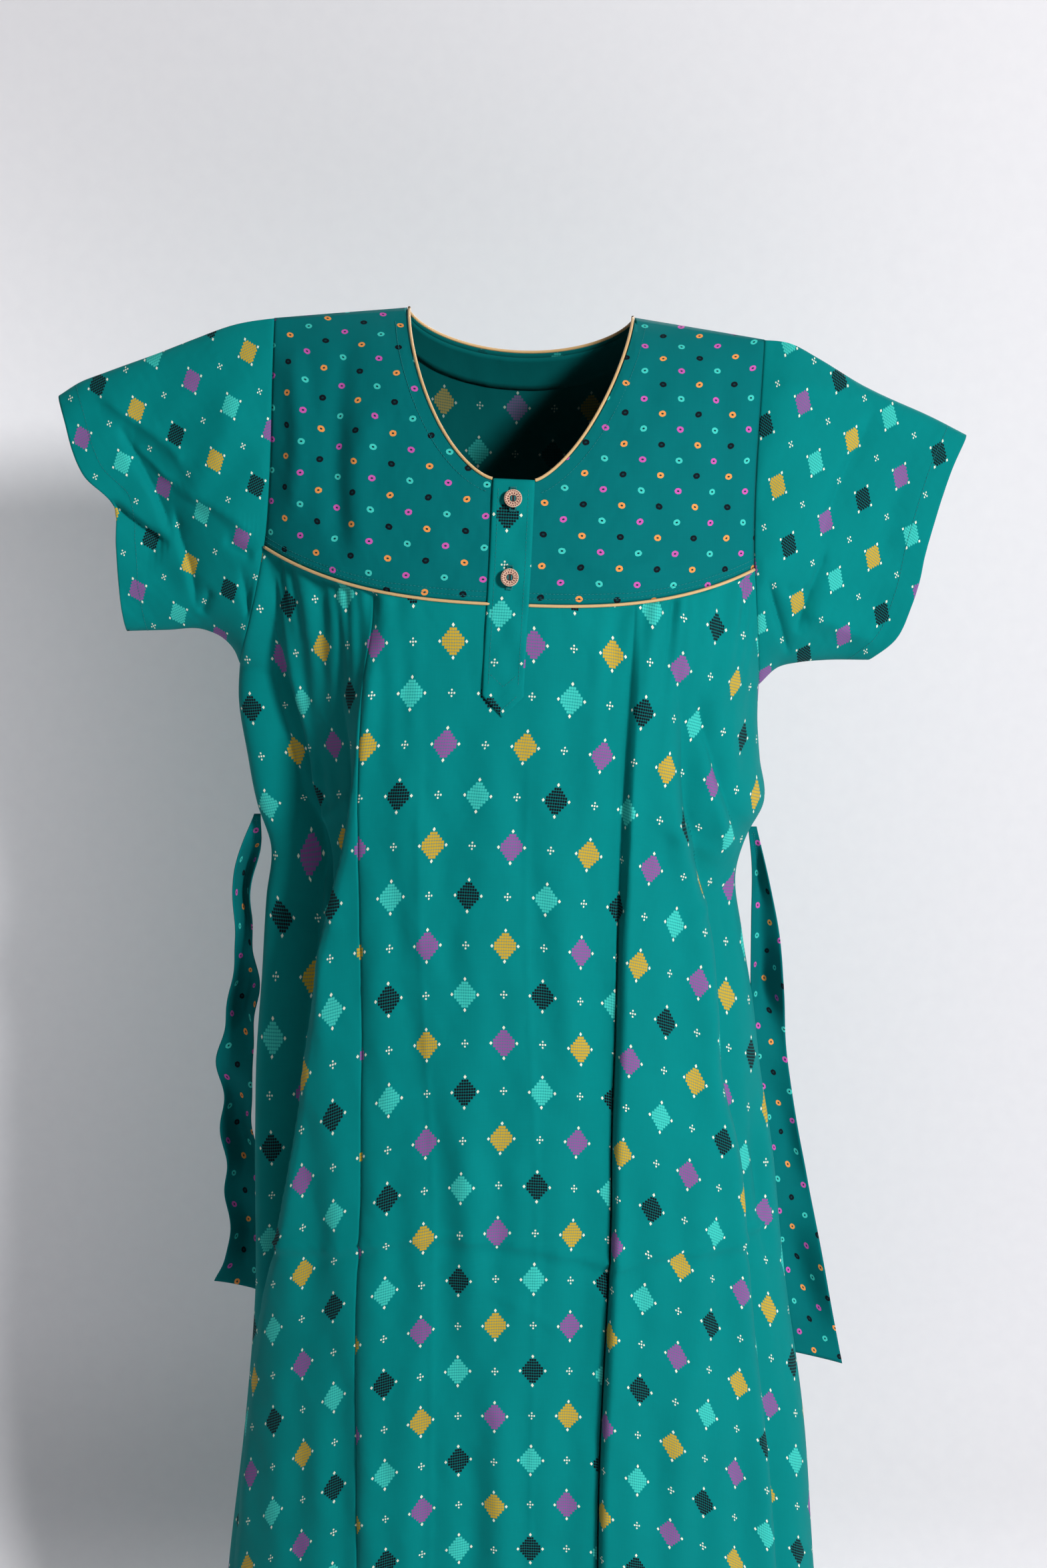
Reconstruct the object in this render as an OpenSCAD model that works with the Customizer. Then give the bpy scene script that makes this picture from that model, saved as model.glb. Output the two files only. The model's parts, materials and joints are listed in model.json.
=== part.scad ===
// Short-sleeved printed cotton nightgown with a yoke, a buttoned placket and two waist ties,
// hanging as if worn. Millimetres, +Z up, front towards -Y, origin between the shoulder points.

/* [Length and width] */
// Height from the neck end of the shoulder seam down to the hem
gown_length = 1370; // [1250:10:1420]
// Half of the width between the two shoulder seams' outer ends
seam_half_w = 217; // [210:1:222]
// Half of the body's width under the arms
underarm_half_w = 232; // [228:1:236]
// Half of the body's width across the chest, measured at the widest level
chest_half_w = 240; // [238:1:244]
// Half of the skirt's width at the hem
hem_half_w = 300; // [280:5:330]
// Height from the shoulder down to the underarm
underarm_drop = 310; // [300:2:316]
// How far each side draws in at the waist, where the ties are sewn in
waist_nip = 7; // [0:1:10]

/* [Depth] */
// Depth of the front at the bust
front_depth = 125; // [110:1:135]
// Depth of the back at the shoulder blades
back_depth = 104; // [95:1:115]
// Extra depth of the skirt at the hem, front and back
hem_extra_depth = 24; // [10:1:35]

/* [Shoulder and neck] */
// Half of the neckline's width
neck_half_w = 99; // [92:1:102]
// Depth of the front neckline
neck_drop = 131; // [125:1:134]
// Depth of the back neckline
back_neck_drop = 34; // [25:1:40]
// Fall of the shoulder seam from neck to sleeve
shoulder_fall = 14; // [8:1:18]
// Degrees that the gown hangs lower on its left side
hang_lean = 2.5; // [0:0.5:3]

/* [Yoke] */
// Drop of the yoke seam at the placket
yoke_drop = 233; // [230:1:240]
// Drop of the yoke seam at the armhole
yoke_side_drop = 198; // [190:1:204]

/* [Placket and buttons] */
// Width of the placket
placket_w = 35; // [30:1:38]
// Drop of the placket's pointed end
placket_end = 328; // [320:1:340]
// Drop of the placket's bottom stitch line, where its slit ends
slit_end = 297; // [290:1:300]
// Diameter of a button
button_d = 15; // [12:0.5:16]
// Drop of the upper button
upper_button_drop = 146; // [145:1:150]
// Drop of the lower button
lower_button_drop = 210; // [200:1:214]

/* [Sleeves] */
// Horizontal reach of the sleeve's top edge from the shoulder line's end
sleeve_reach = 183; // [165:1:190]
// Fall of the sleeve's top edge
sleeve_fall = 73; // [60:1:85]
// Half of the sleeve's depth, front to back, near the armhole
sleeve_half_depth = 32; // [28:1:34]
// Width of the turned sleeve hem
sleeve_hem_w = 19; // [15:1:25]

/* [Ties] */
// Drop of the waist seam point that holds a tie
tie_drop = 452; // [440:2:470]
// Length of a tie
tie_length = 550; // [450:10:570]
// Width of a tie
tie_w = 46; // [40:1:48]

/* [Hidden] */
cloth_t = 1.4;
layer_gap = 2.6;
seam_gap = 1.5;
seam_w = 11;
piping_r = 1.65;
hem_w = 24;
facing_w = 25;
depth_length = 75;
flatness = 2.4;
neck_round = 1.6;
slit_half_w = 8;
lean = tan(hang_lean);
lean_from = -330;
lean_to = -800;
sleeve_tip = [seam_half_w + sleeve_reach, -shoulder_fall - sleeve_fall];
sleeve_low = [seam_half_w + 113, -underarm_drop + 17];
sleeve_start = 0.16;
button_t = 2.4;
button_lift = 5.4;
slot_len = button_d + 2;
slot_w = 3;
shank_r = 1;
teal = [0.02, 0.45, 0.45];
dark_teal = [0.02, 0.36, 0.37];
gold = [0.86, 0.7, 0.48];

function mix(a, b, t) = a + (b - a) * t;
function clamp01(t) = max(0, min(1, t));
function ease(a, b, v) = let (t = clamp01((v - a) / (b - a))) t * t * (3 - 2 * t);
function unit(v) = v / norm(v);

// The way the gown hangs: its upper part leans a little, and the skirt drops straight again.
function hang(p) =
    let (k = lean * (1 - ease(lean_from, lean_to, p[2])))
    [p[0] + k * p[2], p[1], p[2] - k * p[0]];

// Outline of the body, seen from the front
function shoulder_z(x) =
    -shoulder_fall * max(0, abs(x) - neck_half_w) / (seam_half_w - neck_half_w);
function half_w(z) = z > -underarm_drop
    ? mix(underarm_half_w, chest_half_w, ease(-underarm_drop, -yoke_side_drop, z))
    : mix(underarm_half_w, hem_half_w,
          pow(clamp01((-z - underarm_drop) / (gown_length - underarm_drop)), 1.85))
      - waist_nip * ease(underarm_drop, tie_drop, -z) * (1 - ease(tie_drop, tie_drop + 230, -z));
function edge_x(z) = z > -underarm_drop
    ? mix(seam_half_w, underarm_half_w, clamp01(-z / underarm_drop)) : half_w(z);
function edge_angle(z) = asin(min(1, edge_x(z) / half_w(z)));
function yoke_seam_z(x) =
    -mix(yoke_drop, yoke_side_drop, pow(min(1, abs(x) / seam_half_w), 2));

// Depth of the body: the distance of the cloth from the shoulder plane
function bulge(x, z) = pow(max(0, 1 - pow(min(1, abs(x) / half_w(z)), flatness)), 0.5);
function fullness(x, z) = 1 - exp(-max(0, shoulder_z(x) - z) / depth_length);
function skirt_depth(z) = hem_extra_depth * clamp01((-z - underarm_drop) / gown_length);
function front_y(x, z) =
    -seam_gap - (front_depth * fullness(x, z) + skirt_depth(z)) * bulge(x, z);
function back_y(x, z) =
    seam_gap + (back_depth * fullness(x, z) + skirt_depth(z)) * bulge(x, z);

// A point on the front or the back, lifted off the cloth along its outward normal
function lifted(face_y, out, x, z, lift) =
    let (e = 0.5,
         slope_x = (face_y(x + e, z) - face_y(x - e, z)) / (2 * e),
         slope_z = (face_y(x, z + e) - face_y(x, z - e)) / (2 * e))
    [x, face_y(x, z), z] + lift * unit(out * [-slope_x, 1, -slope_z]);
function front_point(x, z, lift) =
    lifted(function (a, b) front_y(a, b), -1, x, z, lift);
function back_point(x, z, lift) =
    lifted(function (a, b) back_y(a, b), 1, x, z, lift);
function mirrored(side, p) = [side * p[0], p[1], p[2]];

// Neckline, as a round front edge from the placket to the shoulder and a shallow back curve
function neck_x(a) = mix(placket_w / 2, neck_half_w, pow(sin(a), 2 / neck_round));
function neck_z(a) = -neck_drop * pow(cos(a), 2 / neck_round);
function back_neck_z(x) =
    -back_neck_drop * pow(max(0, 1 - pow(min(1, abs(x) / neck_half_w), 2)), 0.6);

// Closed solid of a sheet of cloth: form(u, v) for u and v from 0 to 1, thickness t
function form_normal(form, u, v) =
    let (e = 0.004)
    unit(cross(form(min(1, u + e), v) - form(max(0, u - e), v),
               form(u, min(1, v + e)) - form(u, max(0, v - e))));
module cloth(form, nu, nv, t = cloth_t) {
    points = [for (side = [1, -1]) for (j = [0:nv]) for (i = [0:nu])
        let (u = i / nu, v = j / nv)
        hang(form(u, v) + side * t / 2 * form_normal(form, u, v))];
    row = nu + 1;
    layer = row * (nv + 1);
    outer = [for (j = [0:nv - 1]) for (i = [0:nu - 1])
        let (a = j * row + i)
        each [[a, a + row, a + 1], [a + 1, a + row, a + row + 1]]];
    inner = [for (f = outer) [f[0] + layer, f[2] + layer, f[1] + layer]];
    rim = concat([for (i = [0:nu]) i],
                 [for (j = [1:nv]) j * row + nu],
                 [for (i = [nu - 1:-1:0]) nv * row + i],
                 [for (j = [nv - 1:-1:1]) j * row]);
    count = len(rim);
    wall = [for (k = [0:count - 1])
        let (a = rim[k], b = rim[(k + 1) % count])
        each [[a, b, a + layer], [b, b + layer, a + layer]]];
    polyhedron(points, concat(outer, inner, wall));
}

// Closed solid of a tube of cloth that is open at both ends; form(u, v) repeats in u
module cloth_tube(form, nu, nv, t = cloth_t) {
    e = 0.004;
    points = [for (side = [1, -1]) for (j = [0:nv]) for (i = [0:nu - 1])
        let (u = i / nu, v = j / nv,
             n = unit(cross(form(u + e, v) - form(u - e, v),
                            form(u, v + e) - form(u, v - e))))
        hang(form(u, v) + side * t / 2 * n)];
    layer = nu * (nv + 1);
    outer = [for (j = [0:nv - 1]) for (i = [0:nu - 1])
        let (a = j * nu + i, b = j * nu + (i + 1) % nu)
        each [[a, a + nu, b], [b, a + nu, b + nu]]];
    inner = [for (f = outer) [f[0] + layer, f[2] + layer, f[1] + layer]];
    ends = [for (i = [0:nu - 1])
        let (a = i, b = (i + 1) % nu, c = nv * nu + i, d = nv * nu + (i + 1) % nu)
        each [[a, b, a + layer], [b, b + layer, a + layer],
              [c, c + layer, d], [d, c + layer, d + layer]]];
    polyhedron(points, concat(outer, inner, ends));
}

// Round cord swept along a list of points
module cord(path, r, sides = 8) {
    count = len(path);
    points = [for (k = [0:count - 1])
        let (t = unit(path[min(count - 1, k + 1)] - path[max(0, k - 1)]),
             a = unit(cross(t, [0, 1, 0.3])), b = cross(t, a))
        for (i = [0:sides - 1])
            path[k] + r * (cos(i * 360 / sides) * a + sin(i * 360 / sides) * b)];
    wall = [for (k = [0:count - 2]) for (i = [0:sides - 1])
        let (a = k * sides + i, b = k * sides + (i + 1) % sides)
        each [[a, b, a + sides], [b, b + sides, a + sides]]];
    start = [for (i = [sides - 1:-1:0]) i];
    finish = [for (i = [0:sides - 1]) (count - 1) * sides + i];
    polyhedron(points, concat(wall, [start, finish]));
}

// Body panels; s runs from -1 to 1 between the side edges
function across(s, z) = half_w(z) * sin(s * edge_angle(z));
function front_form() = function (u, v)
    let (s = 2 * u - 1,
         top = yoke_seam_z(across(s, -yoke_side_drop)) - 1.5,
         z = mix(top, -gown_length, pow(v, 1.35)),
         x = across(s, z))
    [x, front_y(x, z), z];
function back_top_z(x) = abs(x) < neck_half_w ? back_neck_z(x) : shoulder_z(x);
function back_form() = function (u, v)
    let (s = 1 - 2 * u,
         z = mix(back_top_z(across(s, -shoulder_fall)) - 1, -gown_length, pow(v, 1.35)),
         x = across(s, z))
    [x, back_y(x, z), z];

module front_panel() {
    color(teal) difference() {
        cloth(front_form(), 28, 26);
        translate(hang([0, 0, -slit_end])) rotate([0, hang_lean, 0])
            translate([-2, -front_depth - 20, 0]) cube([4, 40, slit_end - yoke_drop + 20]);
    }
}

module back_panel() {
    color(teal) cloth(back_form(), 36, 28);
}

// Front yoke: neckline and shoulder above, yoke seam below, one side of the placket
module yoke_front(side) {
    top = function (u) u < 0.1 ? [mix(slit_half_w, placket_w / 2, u / 0.1), -neck_drop]
        : u < 0.6 ? let (a = (u - 0.1) / 0.5 * 90) [neck_x(a), neck_z(a)]
        : let (x = mix(neck_half_w, seam_half_w, (u - 0.6) / 0.4)) [x, shoulder_z(x)];
    form = function (u, v)
        let (w = side > 0 ? u : 1 - u,
             p = top(w),
             z = mix(p[1] - 1, yoke_seam_z(p[0]) + 1.5, v),
             x = min(p[0], edge_x(z)) + (edge_x(z) - seam_half_w) * max(0, (w - 0.6) / 0.4))
        [side * x, front_y(x, z), z];
    color(dark_teal) cloth(form, 20, 10);
}
module yoke_front_left() { yoke_front(-1); }
module yoke_front_right() { yoke_front(1); }

// Placket bands
function placket_form(top, end, point, lift) = function (u, v)
    let (s = 2 * u - 1,
         x = s * placket_w / 2,
         z = -mix(top, end - point * abs(s), v))
    front_point(x, z, lift);
module slot(drop) {
    translate(hang([0, front_y(0, -drop), -drop])) rotate([0, hang_lean, 0])
        translate([-slot_w / 2, -12, -slot_len / 2]) cube([slot_w, 24, slot_len]);
}
module placket_overlap() {
    color(teal) difference() {
        cloth(placket_form(neck_drop - 2, placket_end, 18, layer_gap), 8, 16);
        slot(upper_button_drop);
        slot(lower_button_drop);
    }
}
module placket_underlap() {
    color(dark_teal)
        cloth(placket_form(neck_drop + 2, slit_end + 12, 0, -layer_gap), 8, 14);
}

// A place on the placket, with +Z out of the cloth and +Y up the front
module on_placket(drop) {
    slope = atan(front_depth / depth_length * exp(-drop / depth_length));
    translate(hang([0, front_y(0, -drop), -drop]))
        rotate([0, hang_lean, 0]) rotate([90 - slope, 0, 0]) children();
}

module buttonhole_stitches() {
    color(dark_teal)
        for (drop = [upper_button_drop, lower_button_drop])
            on_placket(drop) translate([0, 0, layer_gap + cloth_t / 2 + 0.15])
                linear_extrude(0.4) difference() {
                    square([slot_w + 2.4, slot_len + 2.4], center = true);
                    square([slot_w, slot_len], center = true);
                }
}

// Buttons and the threads that hold them
module thread_places() {
    for (x = [-1, 1]) for (y = [-1, 1]) translate([x * 1.5, y * 1.5, 0]) children();
}
module button(drop) {
    r = button_d / 2;
    color([0.83, 0.76, 0.66])
        on_placket(drop) translate([0, 0, button_lift]) difference() {
            rotate_extrude($fn = 48) polygon([
                [0, 0], [r - 1, 0], [r, 0.8], [r, button_t - 0.6], [r - 0.6, button_t],
                [r - 1.6, button_t], [r - 2.2, button_t - 0.5], [3.4, button_t - 0.5],
                [2.9, button_t - 0.9], [0, button_t - 0.9]]);
            thread_places() translate([0, 0, -1]) cylinder(r = 0.8, h = button_t + 2, $fn = 20);
        }
}
module button_thread(drop) {
    foot = -layer_gap + cloth_t / 2 + 0.4;
    color(dark_teal) on_placket(drop) {
        translate([0, 0, foot]) cylinder(r = shank_r, h = button_lift - 0.9 - foot, $fn = 24);
        translate([0, 0, button_lift - 1]) cylinder(r = 2.3, h = 0.7, $fn = 24);
        thread_places() translate([0, 0, button_lift - 0.6])
            cylinder(r = 0.45, h = button_t + 0.2, $fn = 16);
        for (x = [-1.5, 1.5]) translate([x - 0.45, -1.95, button_lift + button_t - 0.7])
            cube([0.9, 3.9, 0.6]);
    }
}
module button_upper() { button(upper_button_drop); }
module button_lower() { button(lower_button_drop); }
module button_thread_upper() { button_thread(upper_button_drop); }
module button_thread_lower() { button_thread(lower_button_drop); }

// Piping
module neck_piping() {
    inset = piping_r + 0.8;
    front = [for (k = [0:11])
        let (a = 90 * k / 12, x = neck_x(a) - inset * sin(a), z = neck_z(a) + inset)
        [x, front_y(x + inset, neck_z(a)) + 0.5, z]];
    back = [for (k = [0:16])
        let (x = mix(neck_half_w - inset, -neck_half_w + inset, k / 16))
        [x, k == 0 || k == 16 ? 0 : back_y(x, back_neck_z(x)), back_neck_z(x) + inset]];
    path = concat(front, back, [for (k = [11:-1:0]) [-front[k][0], front[k][1], front[k][2]]]);
    color(gold) cord([for (p = path) hang(p)], piping_r);
}
module yoke_piping(side) {
    path = [for (k = [0:14])
        let (x = mix(placket_w / 2 + 2.5, seam_half_w + 1, k / 14), z = yoke_seam_z(x))
        hang(mirrored(side, front_point(x, z, cloth_t / 2 + piping_r + 0.6)))];
    color(gold) cord(path, piping_r);
}
module yoke_piping_left() { yoke_piping(-1); }
module yoke_piping_right() { yoke_piping(1); }

// Facings and seam allowances inside the gown
module neck_facing_front() {
    for (side = [-1, 1]) {
        form = function (u, v)
            let (w = side > 0 ? u : 1 - u,
                 a = mix(12, 76, w),
                 x = neck_x(a) + facing_w * v * 0.8,
                 z = neck_z(a) - facing_w * v * mix(0.6, 0.2, w) - 2)
            mirrored(side, front_point(x, z, -layer_gap));
        color(dark_teal) cloth(form, 12, 2);
    }
}
module neck_facing_back() {
    form = function (u, v)
        let (x = mix(neck_half_w - 14, -neck_half_w + 14, u),
             z = back_neck_z(x) - 3 - facing_w * v)
        back_point(x, z, -layer_gap);
    color(dark_teal) cloth(form, 16, 2);
}
module shoulder_seam(side) {
    form = function (u, v)
        let (x = mix(neck_half_w + 4, seam_half_w - 3, u))
        [side * x, 0, shoulder_z(x) - 4 - seam_w * v];
    color(dark_teal) cloth(form, 6, 1, 1.2);
}
module shoulder_seam_left() { shoulder_seam(-1); }
module shoulder_seam_right() { shoulder_seam(1); }

module armhole_seam(side) {
    for (face = [-1, 1]) {
        form = function (u, v)
            let (z = mix(-40, -underarm_drop + 38, v),
                 x = edge_x(z) - 2 - seam_w * u)
            mirrored(side, face < 0 ? front_point(x, z, -layer_gap)
                                    : back_point(x, z, -layer_gap));
        color(dark_teal) cloth(form, 3, 10);
    }
}
module armhole_seam_left() { armhole_seam(-1); }
module armhole_seam_right() { armhole_seam(1); }

module side_seam(side) {
    form = function (u, v)
        let (z = -mix(underarm_drop + 12, gown_length - hem_w - 4, v))
        [side * (half_w(z) - 2.5 - seam_w * u), 0, z];
    color(dark_teal) cloth(form, 1, 16, 1.2);
}
module side_seam_left() { side_seam(-1); }
module side_seam_right() { side_seam(1); }

// Turned hems
module hem_turn(front) {
    form = function (u, v)
        let (s = front ? 2 * u - 1 : 1 - 2 * u,
             z = -gown_length + hem_w * (1 - v) + 0.5,
             x = half_w(z) * sin(s * 85))
        front ? front_point(x, z, -layer_gap) : back_point(x, z, -layer_gap);
    color(dark_teal) cloth(form, 28, 1);
}
module hem_front() { hem_turn(true); }
module hem_back() { hem_turn(false); }

// Waist ties
function tie_x(v) = half_w(-tie_drop) + 9 + 17 * ease(0, 0.25, v) + 41 * pow(v, 1.6);
function tie_y(v) = 5 + 40 * ease(0, 0.5, v);
module tie(side) {
    form = function (u, v)
        let (w = mix(8, tie_w, ease(0, 0.25, v)),
             slant = side * (u - 0.5) * 22 * ease(0.85, 1, v))
        [side * tie_x(v) + (u - 0.5) * w, tie_y(v), -tie_drop - tie_length * v - slant];
    color(dark_teal) cloth(form, 4, 20);
}
module tie_left() { tie(-1); }
module tie_right() { tie(1); }
module tie_tack(side) {
    color(dark_teal)
        translate(hang([side * (half_w(-tie_drop) + 3.2), 5, -tie_drop - 10]))
            cylinder(r = 1.2, h = 28, $fn = 20);
}
module tie_tack_left() { tie_tack(-1); }
module tie_tack_right() { tie_tack(1); }

// Sleeves, along s from the armhole at 0 to the hem at 1
function sleeve_form(side, from, to, inset) = function (u, v)
    let (s = mix(from(u), to, v),
         top = mix([seam_half_w, -shoulder_fall], sleeve_tip, s),
         low = mix([underarm_half_w, -underarm_drop], sleeve_low, s),
         mid = (top + low) / 2,
         half = norm(top - low) / 2 - inset,
         way = unit(top - low),
         a = side * 360 * u)
    [side * (mid[0] + half * way[0] * cos(a)), (sleeve_half_depth - inset) * sin(a),
     mid[1] + half * way[1] * cos(a)];
module sleeve_hem(side) {
    turn = function (u) 1 - sleeve_hem_w / 150;
    color(dark_teal) cloth_tube(sleeve_form(side, turn, 0.995, 2.4), 32, 1);
}
module sleeve(side) {
    // The armhole end stands back at the front and rear, so that it clears the body as it swings
    head = function (u) sleeve_start * mix(0.2, 1, abs(sin(360 * u)));
    color(teal) cloth_tube(sleeve_form(side, head, 1, 0), 32, 8);
}
module sleeve_left() { sleeve(-1); }
module sleeve_right() { sleeve(1); }
module sleeve_hem_left() { sleeve_hem(-1); }
module sleeve_hem_right() { sleeve_hem(1); }

yoke_front_left();
yoke_front_right();
front_panel();
back_panel();
placket_overlap();
placket_underlap();
buttonhole_stitches();
neck_piping();
yoke_piping_left();
yoke_piping_right();
neck_facing_front();
neck_facing_back();
shoulder_seam_left();
shoulder_seam_right();
armhole_seam_left();
armhole_seam_right();
side_seam_left();
side_seam_right();
hem_front();
hem_back();
tie_tack_left();
tie_tack_right();
tie_left();
tie_right();
sleeve_left();
sleeve_right();
sleeve_hem_left();
sleeve_hem_right();
button_upper();
button_lower();
button_thread_upper();
button_thread_lower();
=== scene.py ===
"""Short-sleeved printed cotton nightgown with a yoke, a buttoned placket and two waist ties.

Shapes are worked out in millimetres, as the gown would hang straight, and hang() then leans them
as part.scad does. +Z is up, the front faces -Y, and the origin is between the shoulder points."""
import json

import bpy
import numpy as np
from mathutils import Vector
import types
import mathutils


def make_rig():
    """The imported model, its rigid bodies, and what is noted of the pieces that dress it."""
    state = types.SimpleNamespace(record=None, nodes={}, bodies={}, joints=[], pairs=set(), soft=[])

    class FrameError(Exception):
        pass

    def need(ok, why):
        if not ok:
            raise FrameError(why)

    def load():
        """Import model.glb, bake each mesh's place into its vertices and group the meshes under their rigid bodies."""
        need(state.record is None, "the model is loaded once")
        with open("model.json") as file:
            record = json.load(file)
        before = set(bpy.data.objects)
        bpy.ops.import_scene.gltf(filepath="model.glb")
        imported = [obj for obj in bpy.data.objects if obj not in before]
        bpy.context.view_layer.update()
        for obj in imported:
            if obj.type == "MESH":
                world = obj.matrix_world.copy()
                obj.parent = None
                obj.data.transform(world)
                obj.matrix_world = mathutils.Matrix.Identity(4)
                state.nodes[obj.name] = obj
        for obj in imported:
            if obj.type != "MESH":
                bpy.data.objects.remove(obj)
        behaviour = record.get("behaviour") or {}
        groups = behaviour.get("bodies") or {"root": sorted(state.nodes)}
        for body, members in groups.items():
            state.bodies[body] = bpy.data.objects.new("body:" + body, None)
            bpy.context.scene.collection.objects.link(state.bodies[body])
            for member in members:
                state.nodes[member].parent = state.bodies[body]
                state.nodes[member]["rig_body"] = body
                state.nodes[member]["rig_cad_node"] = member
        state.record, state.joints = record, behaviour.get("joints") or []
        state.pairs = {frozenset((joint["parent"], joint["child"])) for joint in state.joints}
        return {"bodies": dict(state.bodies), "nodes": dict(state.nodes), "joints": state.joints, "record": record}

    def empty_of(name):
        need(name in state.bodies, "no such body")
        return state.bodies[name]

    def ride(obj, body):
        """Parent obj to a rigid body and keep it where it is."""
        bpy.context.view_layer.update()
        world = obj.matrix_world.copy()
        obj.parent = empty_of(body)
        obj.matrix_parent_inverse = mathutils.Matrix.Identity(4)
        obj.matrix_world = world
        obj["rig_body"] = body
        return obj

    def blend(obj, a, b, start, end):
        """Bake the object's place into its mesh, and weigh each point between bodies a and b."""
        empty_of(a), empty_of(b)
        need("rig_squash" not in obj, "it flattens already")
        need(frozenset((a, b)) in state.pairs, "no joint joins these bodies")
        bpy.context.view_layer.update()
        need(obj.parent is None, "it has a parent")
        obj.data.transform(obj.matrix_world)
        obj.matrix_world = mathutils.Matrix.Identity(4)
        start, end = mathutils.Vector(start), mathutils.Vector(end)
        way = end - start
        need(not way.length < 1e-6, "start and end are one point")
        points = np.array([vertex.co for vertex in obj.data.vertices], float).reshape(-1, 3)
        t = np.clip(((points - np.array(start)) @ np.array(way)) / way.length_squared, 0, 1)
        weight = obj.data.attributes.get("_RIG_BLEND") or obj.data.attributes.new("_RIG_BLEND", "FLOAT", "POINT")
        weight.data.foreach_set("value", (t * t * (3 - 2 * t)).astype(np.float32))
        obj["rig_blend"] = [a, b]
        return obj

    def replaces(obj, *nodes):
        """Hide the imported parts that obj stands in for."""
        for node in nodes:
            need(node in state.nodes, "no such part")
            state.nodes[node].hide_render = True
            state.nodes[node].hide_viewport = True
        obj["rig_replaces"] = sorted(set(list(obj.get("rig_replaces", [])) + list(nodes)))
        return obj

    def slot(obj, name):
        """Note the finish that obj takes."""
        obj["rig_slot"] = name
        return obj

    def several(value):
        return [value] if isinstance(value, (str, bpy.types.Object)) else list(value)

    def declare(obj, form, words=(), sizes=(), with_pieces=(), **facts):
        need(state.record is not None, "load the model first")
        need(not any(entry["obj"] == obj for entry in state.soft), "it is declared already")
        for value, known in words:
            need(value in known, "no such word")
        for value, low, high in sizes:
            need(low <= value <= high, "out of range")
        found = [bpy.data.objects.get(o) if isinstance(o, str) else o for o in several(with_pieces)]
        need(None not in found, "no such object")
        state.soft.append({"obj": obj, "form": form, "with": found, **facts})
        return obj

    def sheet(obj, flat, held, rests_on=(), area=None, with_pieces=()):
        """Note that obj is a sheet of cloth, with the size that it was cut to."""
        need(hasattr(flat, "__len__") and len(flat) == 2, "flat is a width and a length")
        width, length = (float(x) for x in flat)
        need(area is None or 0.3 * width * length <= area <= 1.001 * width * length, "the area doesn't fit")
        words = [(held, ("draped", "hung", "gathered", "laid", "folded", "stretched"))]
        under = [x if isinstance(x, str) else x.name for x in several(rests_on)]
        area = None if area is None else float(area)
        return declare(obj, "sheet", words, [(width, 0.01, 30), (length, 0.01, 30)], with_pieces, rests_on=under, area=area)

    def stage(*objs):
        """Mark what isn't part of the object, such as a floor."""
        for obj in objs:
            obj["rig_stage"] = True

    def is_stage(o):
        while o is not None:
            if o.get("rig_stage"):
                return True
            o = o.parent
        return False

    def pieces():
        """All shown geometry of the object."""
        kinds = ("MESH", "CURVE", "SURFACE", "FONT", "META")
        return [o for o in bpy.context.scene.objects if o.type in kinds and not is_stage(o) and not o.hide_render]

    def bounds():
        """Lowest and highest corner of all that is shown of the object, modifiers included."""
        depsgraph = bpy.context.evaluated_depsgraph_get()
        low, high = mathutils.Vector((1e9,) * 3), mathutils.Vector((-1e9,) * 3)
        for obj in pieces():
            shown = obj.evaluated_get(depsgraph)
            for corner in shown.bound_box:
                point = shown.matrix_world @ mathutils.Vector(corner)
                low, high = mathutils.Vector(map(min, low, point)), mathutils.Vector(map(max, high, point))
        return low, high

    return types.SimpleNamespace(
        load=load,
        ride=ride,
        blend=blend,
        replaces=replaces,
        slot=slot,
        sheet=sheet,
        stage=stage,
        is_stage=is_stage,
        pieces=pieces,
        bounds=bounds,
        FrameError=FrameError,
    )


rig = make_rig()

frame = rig.load()
cad_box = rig.bounds()

# The values that part.scad is built on
GOWN_LENGTH = 1370
SHOULDER_W = 217
UNDERARM = -310
CHEST_W = 240
FRONT_DEPTH = 125
BACK_DEPTH = 104
HEM_DEPTH = 24
DEPTH_LENGTH = 75
NECK_W = 99
NECK_DROP = 131
BACK_NECK_DROP = 34
SHOULDER_FALL = 14
YOKE_DROP = 233
YOKE_SIDE_DROP = 198
PLACKET_W = 35
LEAN = np.tan(np.radians(2.5))
LEAN_FROM, LEAN_TO = -330, -800
SEAM_GAP = 0.05
CLOTH_T = 0.7
PIPING_R = 1.35
SIDES = ((-1, "left"), (1, "right"))

# Sewing
ALLOWANCE_GAP = 1.1
PLACKET_FACE = 1.5
HEM_STITCH = 22
SLEEVE_HEM_STITCH = 19
YOKE_STITCHES = (4.5, 9.0)
NECK_STITCH = 10
BUTTONS = {"upper": 146, "lower": 210}


# ---------------------------------------------------------------- shape tools
def mix(a, b, t):
    return a + (b - a) * t


def ease(a, b, v):
    t = np.clip((v - a) / (b - a), 0, 1)
    return t * t * (3 - 2 * t)


def through(knots, at):
    """Smooth curve through (position, value) knots."""
    knots = np.array(sorted(knots), float)
    xs, ys = knots[:, 0], knots[:, 1]
    slope = np.gradient(ys, xs)
    i = np.clip(np.searchsorted(xs, at) - 1, 0, len(xs) - 2)
    h = xs[i + 1] - xs[i]
    t = np.clip((at - xs[i]) / h, 0, 1)
    return ((2 * t**3 - 3 * t**2 + 1) * ys[i] + (t**3 - 2 * t**2 + t) * h * slope[i]
            + (3 * t**2 - 2 * t**3) * ys[i + 1] + (t**3 - t**2) * h * slope[i + 1])


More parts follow.
